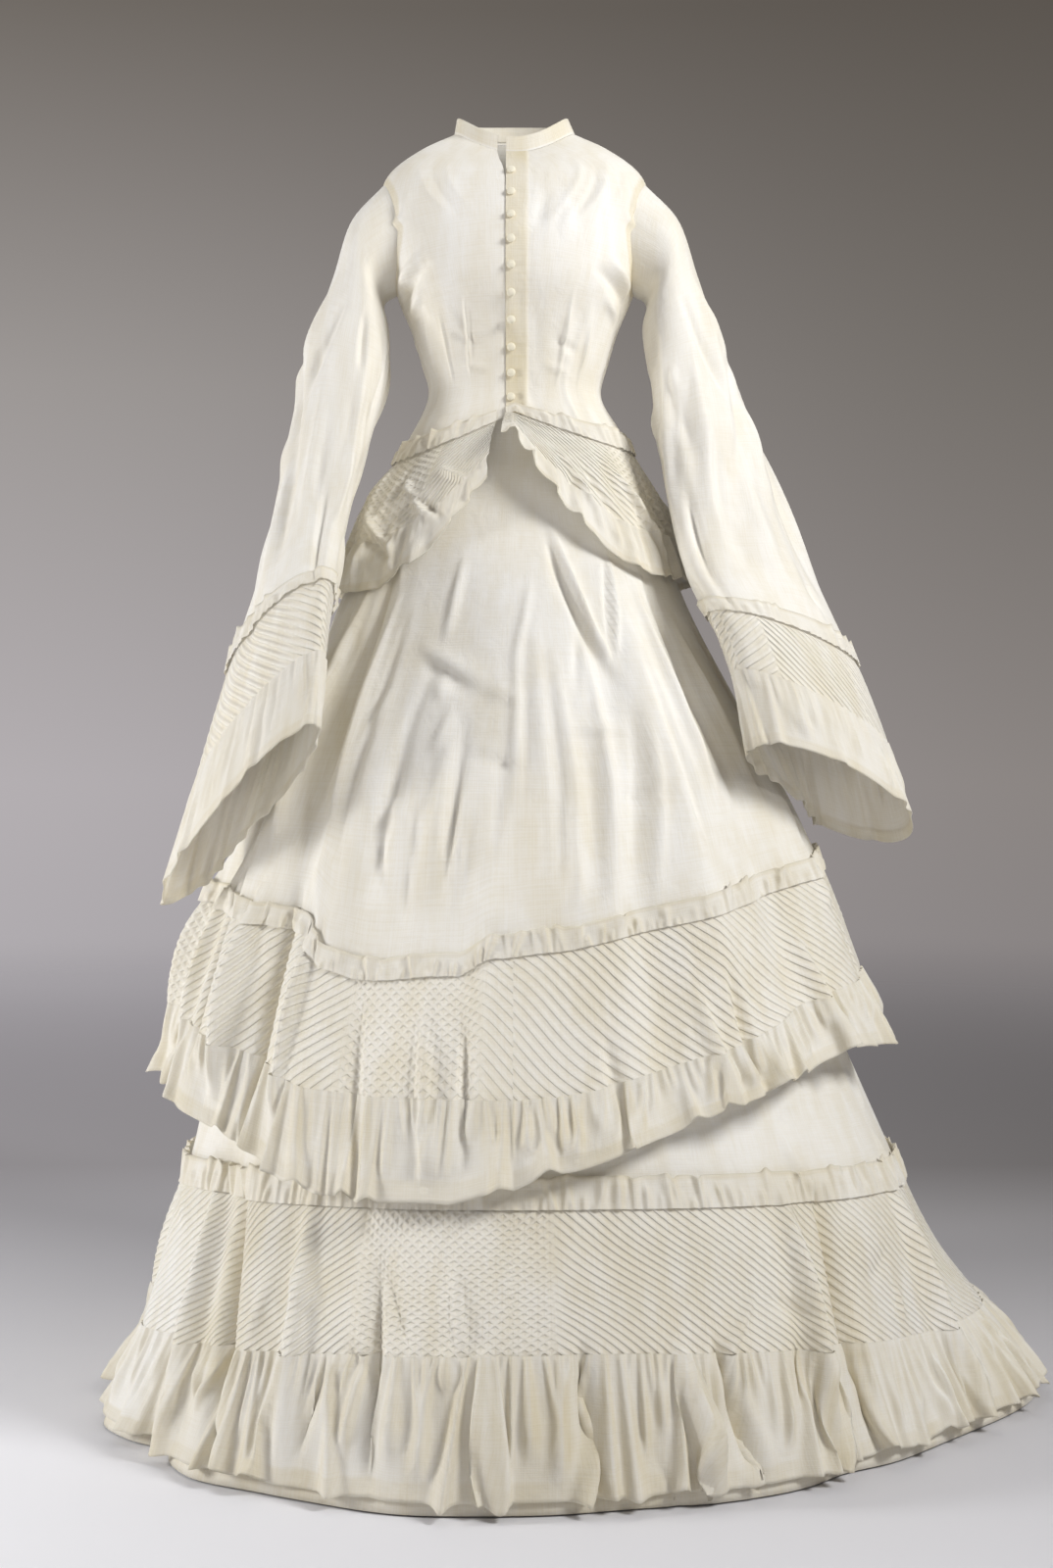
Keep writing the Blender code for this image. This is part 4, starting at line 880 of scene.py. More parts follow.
def tuck_ridges(tree):
    """How high the tucks stand at each place, from 0 to 1, with the same shape as the tucks of the mesh."""
    places = add_node(tree, "ShaderNodeUVMap", {"uv_map": "tucks"})
    strong = add_node(tree, "ShaderNodeAttribute", {"attribute_name": "tucks_each_way"})
    places = add_node(tree, "ShaderNodeSeparateXYZ", links={"Vector": places.outputs[0]})
    strong = add_node(tree, "ShaderNodeSeparateXYZ", links={"Vector": strong.outputs["Vector"]})
    ridges = []
    for axis in "XY":
        share = maths(tree, "FRACT", places.outputs[axis])
        rise = mapped(tree, share, 0.0, TUCK_RISE, 0.0, 1.0)
        fall = mapped(tree, share, TUCK_CREST, TUCK_CREST + TUCK_FALL, 1.0, 0.0)
        ridges.append(maths(tree, "MULTIPLY", maths(tree, "MULTIPLY", rise, fall), strong.outputs[axis]))
    return maths(tree, "MAXIMUM", *ridges)


def lawn(name, ivory, cream, alpha, slub, crinkle, with_tucks=False):
    """Sheer cotton lawn: a matt, slightly hairy plain weave whose thicker threads show as faint lines both ways."""
    found = bpy.data.materials.get(name)
    if found:
        return found
    made = bpy.data.materials.new(name)
    made.use_nodes = True
    tree = made.node_tree
    shader = tree.nodes["Principled BSDF"]
    place = add_node(tree, "ShaderNodeTexCoord")
    doubled = add_node(tree, "ShaderNodeAttribute", {"attribute_name": "doubled"}).outputs["Fac"]
    # Slubs are about 0.3 mm wide in real lawn, and are drawn 1 mm wide so that they show.
    threads = []
    for scale in ((25.0, 900.0, 1.0), (900.0, 25.0, 1.0)):
        run = add_node(tree, "ShaderNodeMapping", links={"Vector": place.outputs["UV"], "Scale": scale})
        noise = add_node(tree, "ShaderNodeTexNoise", links={"Vector": run.outputs[0], "Scale": 1.0, "Detail": 1.0})
        threads.append(noise.outputs[0])
    weave = maths(tree, "ADD", *threads)
    # The cloth hangs nearer the layer below in some places than in others, mostly in upright streaks.
    links = {"Vector": place.outputs["Object"], "Scale": (30.0, 30.0, 4.0)}
    streaks = add_node(tree, "ShaderNodeMapping", links=links)
    links = {"Vector": streaks.outputs[0], "Scale": 1.0, "Detail": 3.0}
    cloud = add_node(tree, "ShaderNodeTexNoise", links=links).outputs[0]
    share = maths(tree, "MULTIPLY_ADD", doubled, 0.55, mapped(tree, cloud, 0.36, 0.68, 0.10, 0.34))
    share = maths(tree, "ADD", share, mapped(tree, weave, 0.85, 1.25, 0.0, 0.14))
    links = {"Vector": place.outputs["Object"], "Scale": 55.0, "Detail": 4.0, "Distortion": 0.6}
    wrinkles = add_node(tree, "ShaderNodeTexNoise", links=links)
    links = {"Strength": crinkle, "Distance": 0.004, "Height": wrinkles.outputs[0]}
    normal = add_node(tree, "ShaderNodeBump", links=links).outputs[0]
    if with_tucks:
        ridges = tuck_ridges(tree)
        # Tucked cloth is creamier all over for its layers, and the tucks' crests are painted lighter than the hollows
        # between them: painted light and shade.
        share = maths(tree, "MULTIPLY_ADD", ridges, -0.14, maths(tree, "ADD", share, 0.24))
        links = {"Strength": 1.0, "Distance": 0.0011, "Height": ridges, "Normal": normal}
        normal = add_node(tree, "ShaderNodeBump", links=links).outputs[0]
    links = {"Strength": slub, "Distance": 0.0004, "Height": weave, "Normal": normal}
    normal = add_node(tree, "ShaderNodeBump", links=links).outputs[0]
    share = maths(tree, "ADD", share, 0.0, clamp=True)
    tree.links.new(mixed(tree, share, linear(ivory), linear(cream)), shader.inputs["Base Color"])
    tree.links.new(normal, shader.inputs["Normal"])
    for socket, value in {
        "Roughness": 0.82,
        "Alpha": alpha,
        "Sheen Weight": 0.25,
        "Sheen Roughness": 0.45,
        "Specular IOR Level": 0.25,
        "IOR": 1.45,
    }.items():
        shader.inputs[socket].default_value = value
    return made


def hex_of(colour):
    """A property's linear colour as sRGB hex."""
    parts = [12.92 * c if c <= 0.0031308 else 1.055 * c ** (1 / 2.4) - 0.055 for c in colour]
    return "#" + "".join(f"{round(255 * min(max(c, 0.0), 1.0)):02x}" for c in parts)


class DressSizes(bpy.types.PropertyGroup):
    """Sizes that a user would change."""

    tuck_pitch: FloatProperty(name="Tuck pitch", description="From tuck to tuck", default=0.0085, unit="LENGTH")
    tuck_height: FloatProperty(name="Tuck height", description="How far a tuck stands", default=0.0014, unit="LENGTH")
    tuck_slope: FloatProperty(name="Tuck slope", description="Degrees from level", default=42.0)
    button_radius: FloatProperty(name="Button radius", description="Half a button", default=0.0048, unit="LENGTH")
    crease_depth: FloatProperty(name="Creases", description="Their depth, times that in the tables", default=1.8)
    seed: IntProperty(name="Gathers", description="Which run of uneven gathers is drawn", default=7)


class DressColours(bpy.types.PropertyGroup):
    """Colours that a user would change."""

    ivory: FloatVectorProperty(
        name="Single cloth", description="One layer", subtype="COLOR", default=linear("#F8F6F0")[:3]
    )
    cream: FloatVectorProperty(
        name="Doubled cloth", description="Hems, tucks and folds", subtype="COLOR", default=linear("#DDD1B0")[:3]
    )


def lawns(kind):
    """The cloth of each kind of piece."""
    colours = bpy.context.scene.dress_colours
    ivory, cream = hex_of(colours.ivory), hex_of(colours.cream)
    alpha, slub, crinkle = {
        "plain": (0.96, 0.5, 0.30),
        "tucked": (0.98, 0.4, 0.40),
        "frilled": (0.88, 0.6, 0.35),
    }[kind]
    return lawn(f"{kind}_cotton_lawn_woven", ivory, cream, alpha, slub, crinkle, with_tucks=kind == "tucked")


def skirt_angles(section, per_column):
    """The solids' columns round a skirt, each shared out into so many."""
    coarse = np.append(even_angles(section, SKIRT_COLUMNS), FULL_TURN)
    return np.interp(np.arange(SKIRT_COLUMNS * per_column) / per_column, np.arange(SKIRT_COLUMNS + 1), coarse)


def rings_for(sections, angles):
    return np.stack([section_points(section, angles) for section in sections])


def underskirt_points(places, angles):
    points = flowing(rings_for(UNDERSKIRT, angles), places)
    z = points[..., 2] + HOLD_HEIGHT
    creases = UNDERSKIRT_CREASES + small_creases(UNDERSKIRT_SMALL)
    push = fold_push(UNDERSKIRT_FOLDS, angles[None, :], z)
    points = moved_out(points, push + crease_push(creases, np.degrees(angles)[None, :], z, UNDERSKIRT_RADIUS))
    points[..., 2] = np.maximum(points[..., 2], FLOOR_CLEAR - HOLD_HEIGHT)
    return points


def apron_rings(angles):
    rings = rings_for(OVERSKIRT, angles)
    degrees = np.degrees(turned(angles))
    row = np.clip(np.searchsorted(APRON_RISE_ANGLES, degrees) - 1, 0, len(APRON_RISE_ANGLES) - 2)
    start, end = np.take(APRON_RISE_ANGLES, row), np.take(APRON_RISE_ANGLES, row + 1)
    share = smooth((degrees - start) / (end - start))
    for k, rises in APRON_RISES.items():
        rings[k, :, 2] += np.take(rises, row) * (1 - share) + np.take(rises, row + 1) * share
    return rings


def overskirt_points(places, angles):
    points = flowing(apron_rings(angles), places)
    z = points[..., 2] + HOLD_HEIGHT
    degrees = np.degrees(angles)[None, :]
    puff = puff_push(angles[None, :], z) * (np.asarray(places) <= APRON_BAND_ROW).reshape(-1, 1)
    upper = crease_push(APRON_CREASES + small_creases(APRON_SMALL), degrees, z, APRON_RADIUS)
    lower = crease_push(APRON_EDGE_CREASES, degrees, z, APRON_EDGE_RADIUS)
    return moved_out(points, fold_push(OVERSKIRT_FOLDS, angles[None, :], z) + puff + upper + lower)


def make_underskirt():
    sizes = bpy.context.scene.dress_sizes
    base = UNDERSKIRT[UNDERSKIRT_BAND_ROW]
    angles = skirt_angles(base, GORE_COLUMNS)
    rings = rings_for(UNDERSKIRT, angles)
    under_apron = places_down(rings, 0, GORE_VISIBLE_RING, UNDER_APRON_SPACING)
    places = np.concatenate([under_apron[:-1], places_down(rings, GORE_VISIBLE_RING, HEM_ROW, GORE_SPACING)])
    skirt = patched(cloth(underskirt_points(places, angles), True), UNDERSKIRT_PATCHES, np.degrees(angles))
    for node, (start, end) in UNDERSKIRT_GORES.items():
        gore = cut(skirt, columns=(start * GORE_COLUMNS, end * GORE_COLUMNS))
        dressed(hemmed(gore, 2), node, "plain")

    angles = skirt_angles(base, UNDERSKIRT_BAND_COLUMNS)
    degrees = np.degrees(angles)
    rings = rings_for(UNDERSKIRT, angles)
    band_places = places_down(rings, UNDERSKIRT_BAND_ROW, FLOUNCE_ROW, UNDERSKIRT_BAND_SPACING)
    band = pushed(cloth(underskirt_points(band_places, angles), True), LAYER)
    band = patched(tucked(band, UNDERSKIRT_TUCKS, angles, sizes), UNDERSKIRT_PATCHES, degrees)
    dressed(band, "underskirt_band", "tucked")

    angles = skirt_angles(base, FLOUNCE_COLUMNS)
    degrees = np.degrees(angles)
    rings = rings_for(UNDERSKIRT, angles)
    drop = np.linalg.norm(rings[HEM_ROW] - rings[FLOUNCE_ROW], axis=1)
    share = np.linspace(0.0, 1.0, FLOUNCE_ROWS)[:, None]
    flounce_places = FLOUNCE_ROW + share * (1 - FLOUNCE_SHORT / drop)[None, :]
    flounce = pushed(cloth(underskirt_points(flounce_places, angles), True), LAYER + (FLOUNCE_LIFT - LAYER) * share)
    flounce = patched(gathered(flounce, FLOUNCE, sizes.seed), UNDERSKIRT_PATCHES, degrees)
    flounce.points[..., 2] = np.maximum(flounce.points[..., 2], FLOOR_CLEAR - HOLD_HEIGHT)
    dressed(hemmed(flounce, 4), "underskirt_flounce", "frilled")

    heading_places = np.linspace(UNDERSKIRT_HEADING_ROW, UNDERSKIRT_BAND_ROW, UNDERSKIRT_HEADING_ROWS)
    strip = pushed(cloth(underskirt_points(heading_places, angles), True), LAYER)
    heading(strip, SKIRT_HEADING, sizes.seed + 10, "underskirt_heading")


def make_overskirt():
    sizes = bpy.context.scene.dress_sizes
    base = OVERSKIRT[APRON_BAND_ROW]
    angles = skirt_angles(base, APRON_COLUMNS)
    places = places_down(apron_rings(angles), 0, APRON_BAND_ROW, APRON_SPACING)
    skirt = patched(cloth(overskirt_points(places, angles), True), APRON_PATCHES, np.degrees(angles))
    side = OVERSKIRT_SIDE_COLUMN * APRON_COLUMNS
    dressed(cut(skirt, columns=(-side, side)), "overskirt_front", "plain")
    dressed(cut(skirt, columns=(side, SKIRT_COLUMNS * APRON_COLUMNS - side)), "overskirt_back", "plain")

    angles = skirt_angles(base, APRON_BAND_COLUMNS)
    band_places = places_down(apron_rings(angles), APRON_BAND_ROW, APRON_FRILL_ROW, APRON_BAND_SPACING)
    band = tucked(cloth(overskirt_points(band_places, angles), True), APRON_TUCKS, angles, sizes)
    dressed(band, "overskirt_band", "tucked")

    angles = skirt_angles(base, APRON_FRILL_COLUMNS)
    frill_places = np.linspace(APRON_FRILL_ROW, APRON_HEM_ROW, APRON_FRILL_ROWS)
    frill = gathered(cloth(overskirt_points(frill_places, angles), True), APRON_FRILL, sizes.seed + 20)
    dressed(hemmed(frill, 4), "overskirt_frill", "frilled")

    heading_places = np.linspace(APRON_HEADING_ROW, APRON_BAND_ROW, APRON_HEADING_ROWS)
    strip = cloth(overskirt_points(heading_places, angles), True)
    heading(strip, APRON_HEADING, sizes.seed + 30, "overskirt_heading")


def front_angle(x, section):
    return math.asin(x / section.left)


def bodice_angles(ring):
    """The columns of all panels at a ring, from the left front's edge round to the right front's."""
    section = BODICE[ring]
    fallen = NECK_GAPE * float(smooth(1 - ring / GAPE_END_RING))
    left, right = front_angle(FRONT_EDGE, section), front_angle(FRONT_EDGE - PANEL_GAP - fallen, section)
    side, back = math.radians(SIDE_SEAM[ring]), math.radians(BACK_SEAM[ring])
    ends = [left, side, back, math.pi, FULL_TURN - back, FULL_TURN - side, FULL_TURN + right]
    counts = [FRONT_COLUMNS, SIDE_BACK_COLUMNS, BACK_COLUMNS, BACK_COLUMNS, SIDE_BACK_COLUMNS, FRONT_COLUMNS]
    knots = np.concatenate([[0], np.cumsum(counts)])
    return np.interp(np.arange(knots[-1] + 1), knots, ends)


def bodice_seams():
    return np.cumsum([FRONT_COLUMNS, SIDE_BACK_COLUMNS, BACK_COLUMNS, BACK_COLUMNS, SIDE_BACK_COLUMNS])


def whole_bodice():
    """The bodice before its armholes are cut, and the places of its rows."""
    rings = np.stack([section_points(BODICE[k], bodice_angles(k)) for k in range(len(BODICE))])
    places = places_down(rings, 0, len(BODICE) - 1, BODICE_SPACING)
    points = flowing(rings, places)
    every = np.stack([bodice_angles(k) for k in range(len(BODICE))])
    degrees = np.degrees(np.stack([np.interp(places, np.arange(len(BODICE)), column) for column in every.T], axis=1))
    plain = cloth(points, False)
    z = points[..., 2] + HOLD_HEIGHT
    push = crease_push(BODICE_CREASES, degrees, z, BODICE_RADIUS)
    push += BODICE_SMALL_SHARE * crease_push(small_creases(BODICE_SMALL), degrees, z, BODICE_RADIUS)
    return pushed(plain, push), places, degrees


def at_side(whole, y, z, side):
    """Where the bodice's side is at depths y and heights z, as a distance from the middle."""
    near = whole.points.reshape(-1, 3)
    normals = whole.normals.reshape(-1, 3)
    picked = (near[:, 0] * side > SIDE_FROM) & (near[:, 2] < 0.02)
    near, normals = near[picked], normals[picked]
    found = []
    for a, b in zip(y, z):
        k = np.argmin((near[:, 1] - a) ** 2 + (near[:, 2] - b) ** 2)
        p, n = near[k], normals[k]
        found.append(p[0] - (n[1] * (a - p[1]) + n[2] * (b - p[2])) / n[0])
    return np.array(found)


def seam_marks(whole):
    """How creamy the bodice is along its seams and the lap, and how far out it stands there."""
    doubled, out = np.zeros(whole.points.shape[:2]), np.zeros(whole.points.shape[:2])
    around = np.cumsum(np.linalg.norm(np.gradient(whole.points, axis=1), axis=2), axis=1)
    # Seam allowances show through as a creamier strip, and the seam itself is a shallow groove.
    for seam in bodice_seams():
        away = np.abs(around - around[:, seam : seam + 1])
        doubled = np.maximum(doubled, HEM_TONE * (1 - smooth((away - ALLOWANCE) / ALLOWANCE_FADE)))
        out -= SEAM_DEPTH * np.exp(-((away / SEAM_WIDTH) ** 2))
    # The wearer's left front laps over, and its doubled edge stands up in a band.
    lap = around - around[:, :1]
    doubled = np.maximum(doubled, LAP_TONE * (1 - smooth((lap - LAP_WIDTH + 0.001) / 0.005)))
    out += LAP_DEPTH * (1 - smooth((lap - LAP_WIDTH) / 0.002))
    return doubled, out


def cut_armholes(points, normals, doubled):
    """Opens the armholes: facets inside go, and points left just inside are moved out to the armhole's line."""
    y = points[..., 1] / ARMHOLE_HALF_DEPTH
    z = (points[..., 2] + HOLD_HEIGHT - ARMHOLE_Z) / ARMHOLE_HALF_HEIGHT
    outer = np.abs(points[..., 0]) > SIDE_FROM
    reach = np.hypot(y, z)
    inside = (reach < 1) & outer
    keep = ~np.all([inside[:-1, :-1], inside[1:, :-1], inside[1:, 1:], inside[:-1, 1:]], axis=0)
    scale = np.where(inside & (reach > 0.5), 1 / np.maximum(reach, 0.5), 1.0)
    new_y = y * scale * ARMHOLE_HALF_DEPTH
    new_z = z * scale * ARMHOLE_HALF_HEIGHT + ARMHOLE_Z - HOLD_HEIGHT
    shift = normals[..., 1] * (new_y - points[..., 1]) + normals[..., 2] * (new_z - points[..., 2])
    safe = np.where(np.abs(normals[..., 0]) > 0.3, normals[..., 0], 1.0)
    moved = np.stack([points[..., 0] - shift / safe, new_y, new_z], axis=-1)
    points = np.where((scale > 1)[..., None], moved, points)
    beside_armhole = (1 - smooth((reach - 1.10) / 0.04)) * outer
    return points, np.maximum(doubled, ARMHOLE_TONE * beside_armhole), keep


def make_bodice():
    whole, places, degrees = whole_bodice()
    doubled, out = seam_marks(whole)
    points = whole.points + whole.normals * out[..., None]
    points, doubled, keep = cut_armholes(points, whole.normals, doubled)
    piece = patched(whole._replace(points=points, doubled=doubled), BODICE_PATCHES, degrees)

    seams = [0, *bodice_seams(), points.shape[1] - 1]
    first_side_row = int(np.argmin(np.abs(places - SIDE_BACK_FIRST_RING)))
    names = ["front_left", "side_back_left", "back_left", "back_right", "side_back_right", "front_right"]
    for name, start, end in zip(names, seams, seams[1:]):
        first = first_side_row if "side" in name else 0
        panel = cut(piece, rows=(first, len(places) - 1), columns=(start, end))
        dressed(panel, f"bodice_{name}", "plain", keep=keep[first:, start:end])

    heights = np.linspace(PLACKET_TOP, PLACKET_BOTTOM, 40) - HOLD_HEIGHT
    sideways = np.linspace(PLACKET_START, PLACKET_END, 7)
    strip = np.array([[front_point(whole, x, z)[0] for x in sideways] for z in heights])
    placket = pushed(cloth(strip, False), -PLACKET_BEHIND, 1.0)
    dressed(placket, "front_placket", "plain")


def front_point(whole, x, z):
    """The point of the bodice's front so far across and up, and the outward direction there."""
    near, normals = whole.points.reshape(-1, 3), whole.normals.reshape(-1, 3)
    k = np.argmin((near[:, 0] - x) ** 2 + (near[:, 2] - z) ** 2 + np.where(near[:, 1] > 0, 1.0, 0.0))
    p, n = near[k], normals[k]
    y = p[1] - (n[0] * (x - p[0]) + n[2] * (z - p[2])) / n[1]
    return np.array([x, y, z]), n


def make_collar():
    start = front_angle(FRONT_EDGE, NECK_BASE)
    end = FULL_TURN + front_angle(FRONT_EDGE - NECK_GAPE, NECK_BASE)
    angles = np.linspace(start, end, 201)
    rings = rings_for(COLLAR, angles)
    points = flowing(rings, np.linspace(0.0, 1.0, 13)) + np.array([0, 0, PANEL_GAP])
    collar = hemmed(cloth(points, False), 10, gap=0.0012, top=True)
    dressed(collar, "collar", "plain")


def make_peplum():
    sizes = bpy.context.scene.dress_sizes
    angles = bodice_angles(-1)
    rings = rings_for(PEPLUM, angles)
    rings[..., 2] = rings_for(PEPLUM, np.maximum(angles, 0.0))[..., 2]
    degrees = np.degrees(angles)[None, :]

    def creased(places):
        points = flowing(rings, places)
        z = points[..., 2] + HOLD_HEIGHT
        push = crease_push(PEPLUM_CREASES, degrees, z, PEPLUM_RADIUS)
        push += PEPLUM_SMALL_SHARE * crease_push(small_creases(PEPLUM_SMALL), degrees, z, PEPLUM_RADIUS)
        return pushed(cloth(points, False), push)

    band = tucked(creased(places_down(rings, 0, 2, PEPLUM_SPACING)), PEPLUM_TUCKS, angles, sizes)
    dressed(band, "peplum_band", "tucked")
    frill = hemmed(gathered(creased(np.linspace(2, 3, PEPLUM_FRILL_ROWS)), PEPLUM_FRILL, sizes.seed + 40), 3)
    dressed(frill, "peplum_frill", "frilled")
    upper = np.stack([section_points(BODICE[k], bodice_angles(k)) for k in (-2, -1)])
    strip = cloth(flowing(upper, np.linspace(0, 1, PEPLUM_HEADING_ROWS)), False)
    heading(strip, PEPLUM_HEADING, sizes.seed + 50, "peplum_heading")


def kept_clear(points):
    """Points of a sleeve, moved out where they are within the rings that it hangs outside of."""
    z = points[..., 2] + HOLD_HEIGHT
    heights = np.array([ring.z_left for ring in SLEEVE_LIMITS])[::-1]
    halves = {
        side: np.interp(z, heights, np.array([getattr(ring, side) for ring in SLEEVE_LIMITS])[::-1])
        for side in ("left", "right", "front", "back")
    }
    half_x = np.where(points[..., 0] > 0, halves["left"], halves["right"])
    half_y = np.where(points[..., 1] < 0, halves["front"], halves["back"])
    inside = np.hypot(points[..., 0] / half_x, points[..., 1] / half_y)
    inside = np.where(z > heights[-1], 1.0, np.minimum(inside, 1.0))[..., None]
    return np.concatenate([points[..., :2] / inside, points[..., 2:]], axis=-1)


def sleeve_ring(ring, side, angles):
    turn = math.radians(ring.turn)
    front_end = np.array([-side * math.sin(turn), -math.cos(turn), 0.0])
    outer_side = np.array([side * math.cos(turn), -math.sin(turn), 0.0])
    along, across = np.cos(angles)[:, None], np.sin(angles)[:, None]
    rise = ring.rise_front * along + ring.rise_out * across
    centre = np.array([side * ring.x, ring.y, ring.z - HOLD_HEIGHT])
    points = centre + front_end * ring.long * along + outer_side * ring.short * across + rise * np.array([0, 0, 1.0])
    return kept_clear(points)


def make_sleeve(side_name, side, table, whole, seed):
    sizes = bpy.context.scene.dress_sizes
    angles = FULL_TURN * np.arange(SLEEVE_COLUMNS) / SLEEVE_COLUMNS
    y = -ARMHOLE_HALF_DEPTH * np.cos(angles)
    z = ARMHOLE_Z + ARMHOLE_HALF_HEIGHT * np.sin(angles) - HOLD_HEIGHT
    x = at_side(whole, y, z, side)
    rings = [np.stack([x - side * HEAD_IN, y, z], axis=-1)]
    rings += [sleeve_ring(ring, side, angles) for ring in table]
    rings = np.stack(rings)
    last = len(rings) - 1
    degrees = np.degrees(angles)[None, :]

    def tube(places):
        points = kept_clear(flowing(rings, places))
        going = points if side > 0 else points[:, ::-1]
        made = cloth(going, True)
        turns = degrees if side > 0 else degrees[:, ::-1]
        creases = SLEEVE_CREASES + small_creases(SLEEVE_SMALL._replace(seed=seed))
        return pushed(made, crease_push(creases, turns, going[..., 2] + HOLD_HEIGHT, SLEEVE_RADIUS))

    upper = tube(places_down(rings, 0, last - 2, SLEEVE_SPACING))
    dressed(upper, f"sleeve_{side_name}", "plain")
    band = tube(places_down(rings, last - 2, last - 1, SLEEVE_BAND_SPACING))
    zones = [Zone(-60, -side), Zone(40, -side), Zone(110, side), Zone(180, side)]
    band = tucked(band, zones, angles, sizes)
    dressed(band, f"sleeve_band_{side_name}", "tucked")
    frill = gathered(tube(np.linspace(last - 1, last, SLEEVE_FRILL_ROWS)), SLEEVE_FRILL, seed)
    dressed(hemmed(frill, 3), f"sleeve_frill_{side_name}", "frilled")
    strip = tube(np.linspace(last - 3, last - 2, SLEEVE_HEADING_ROWS))
    heading(strip, SLEEVE_HEADING, seed + 5, f"sleeve_heading_{side_name}")


def make_buttons():
    sizes = bpy.context.scene.dress_sizes
    whole = whole_bodice()[0]
    material = lawn("thread_covered_button", BUTTON_IVORY, BUTTON_CREAM, alpha=1.0, slub=0.8, crinkle=0.0)
    points, facing = [], []
    for k in range(BUTTON_COUNT):
        at, normal = front_point(whole, BUTTON_X, LOWEST_BUTTON + BUTTON_SPACING * k - HOLD_HEIGHT)
        points.append(at + normal * BUTTON_OUT)
        facing.append(normal)
    mesh = bpy.data.meshes.new("covered_buttons")
    mesh.from_pydata([tuple(p) for p in points], [], [])
    facings = mesh.attributes.new("facing", "FLOAT_VECTOR", "POINT")
    facings.data.foreach_set("vector", np.array(facing).ravel())
    made = bpy.data.objects.new("covered_buttons", mesh)
    bpy.context.scene.collection.objects.link(made)

    tree = bpy.data.node_groups.new("buttons_on_points", "GeometryNodeTree")
    tree.interface.new_socket("Geometry", in_out="INPUT", socket_type="NodeSocketGeometry")
    radius = tree.interface.new_socket("Radius", in_out="INPUT", socket_type="NodeSocketFloat")
    tree.interface.new_socket("Geometry", in_out="OUTPUT", socket_type="NodeSocketGeometry")
    begin, end = add_node(tree, "NodeGroupInput"), add_node(tree, "NodeGroupOutput")
    ball = add_node(tree, "GeometryNodeMeshUVSphere", links={"Segments": 20, "Rings": 12, "Radius": 1.0})
    place = add_node(tree, "GeometryNodeInputNamedAttribute", {"data_type": "FLOAT_VECTOR"}, {"Name": "facing"})
    links = {"Vector": place.outputs["Attribute"]}
    align = add_node(tree, "FunctionNodeAlignRotationToVector", {"axis": "Z"}, links)
    links = {0: (1.0, 1.0, BUTTON_FLATNESS), "Scale": begin.outputs["Radius"]}
    size = add_node(tree, "ShaderNodeVectorMath", {"operation": "SCALE"}, links)
    links = {
        "Points": begin.outputs["Geometry"],
        "Instance": ball.outputs["Mesh"],
        "Rotation": align.outputs["Rotation"],
        "Scale": size.outputs["Vector"],
    }
    instances = add_node(tree, "GeometryNodeInstanceOnPoints", links=links)
    real = add_node(tree, "GeometryNodeRealizeInstances", links={"Geometry": instances.outputs["Instances"]})
    rounded = add_node(tree, "GeometryNodeSetShadeSmooth", links={"Geometry": real.outputs["Geometry"]})
    links = {"Geometry": rounded.outputs["Geometry"], "Material": material}
    covered = add_node(tree, "GeometryNodeSetMaterial", links=links)
    tree.links.new(covered.outputs["Geometry"], end.inputs[0])
    modifier = made.modifiers.new("buttons", "NODES")
    modifier.node_group = tree
    modifier[radius.identifier] = sizes.button_radius
    made = made_plain(made)
    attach(made, "root")
    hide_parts(*[f"button_{k + 1:02d}" for k in range(BUTTON_COUNT)])


def made_plain(made):
    """The object with its modifiers' result as its own mesh."""
    graph = bpy.context.evaluated_depsgraph_get()
    mesh = bpy.data.meshes.new_from_object(made.evaluated_get(graph))
    made.modifiers.clear()
    made.data = mesh
    return made


def graded(tree, value, stops):
    """The colour between stops, each a value and an sRGB colour."""
    ramp = add_node(tree, "ShaderNodeValToRGB", links={"Fac": value})
    elements = ramp.color_ramp.elements
    for k, (at, colour) in enumerate(stops):
        stop = elements[k] if k < 2 else elements.new(at)
        stop.position = at
        stop.color = linear(colour)
    return ramp.outputs["Color"]


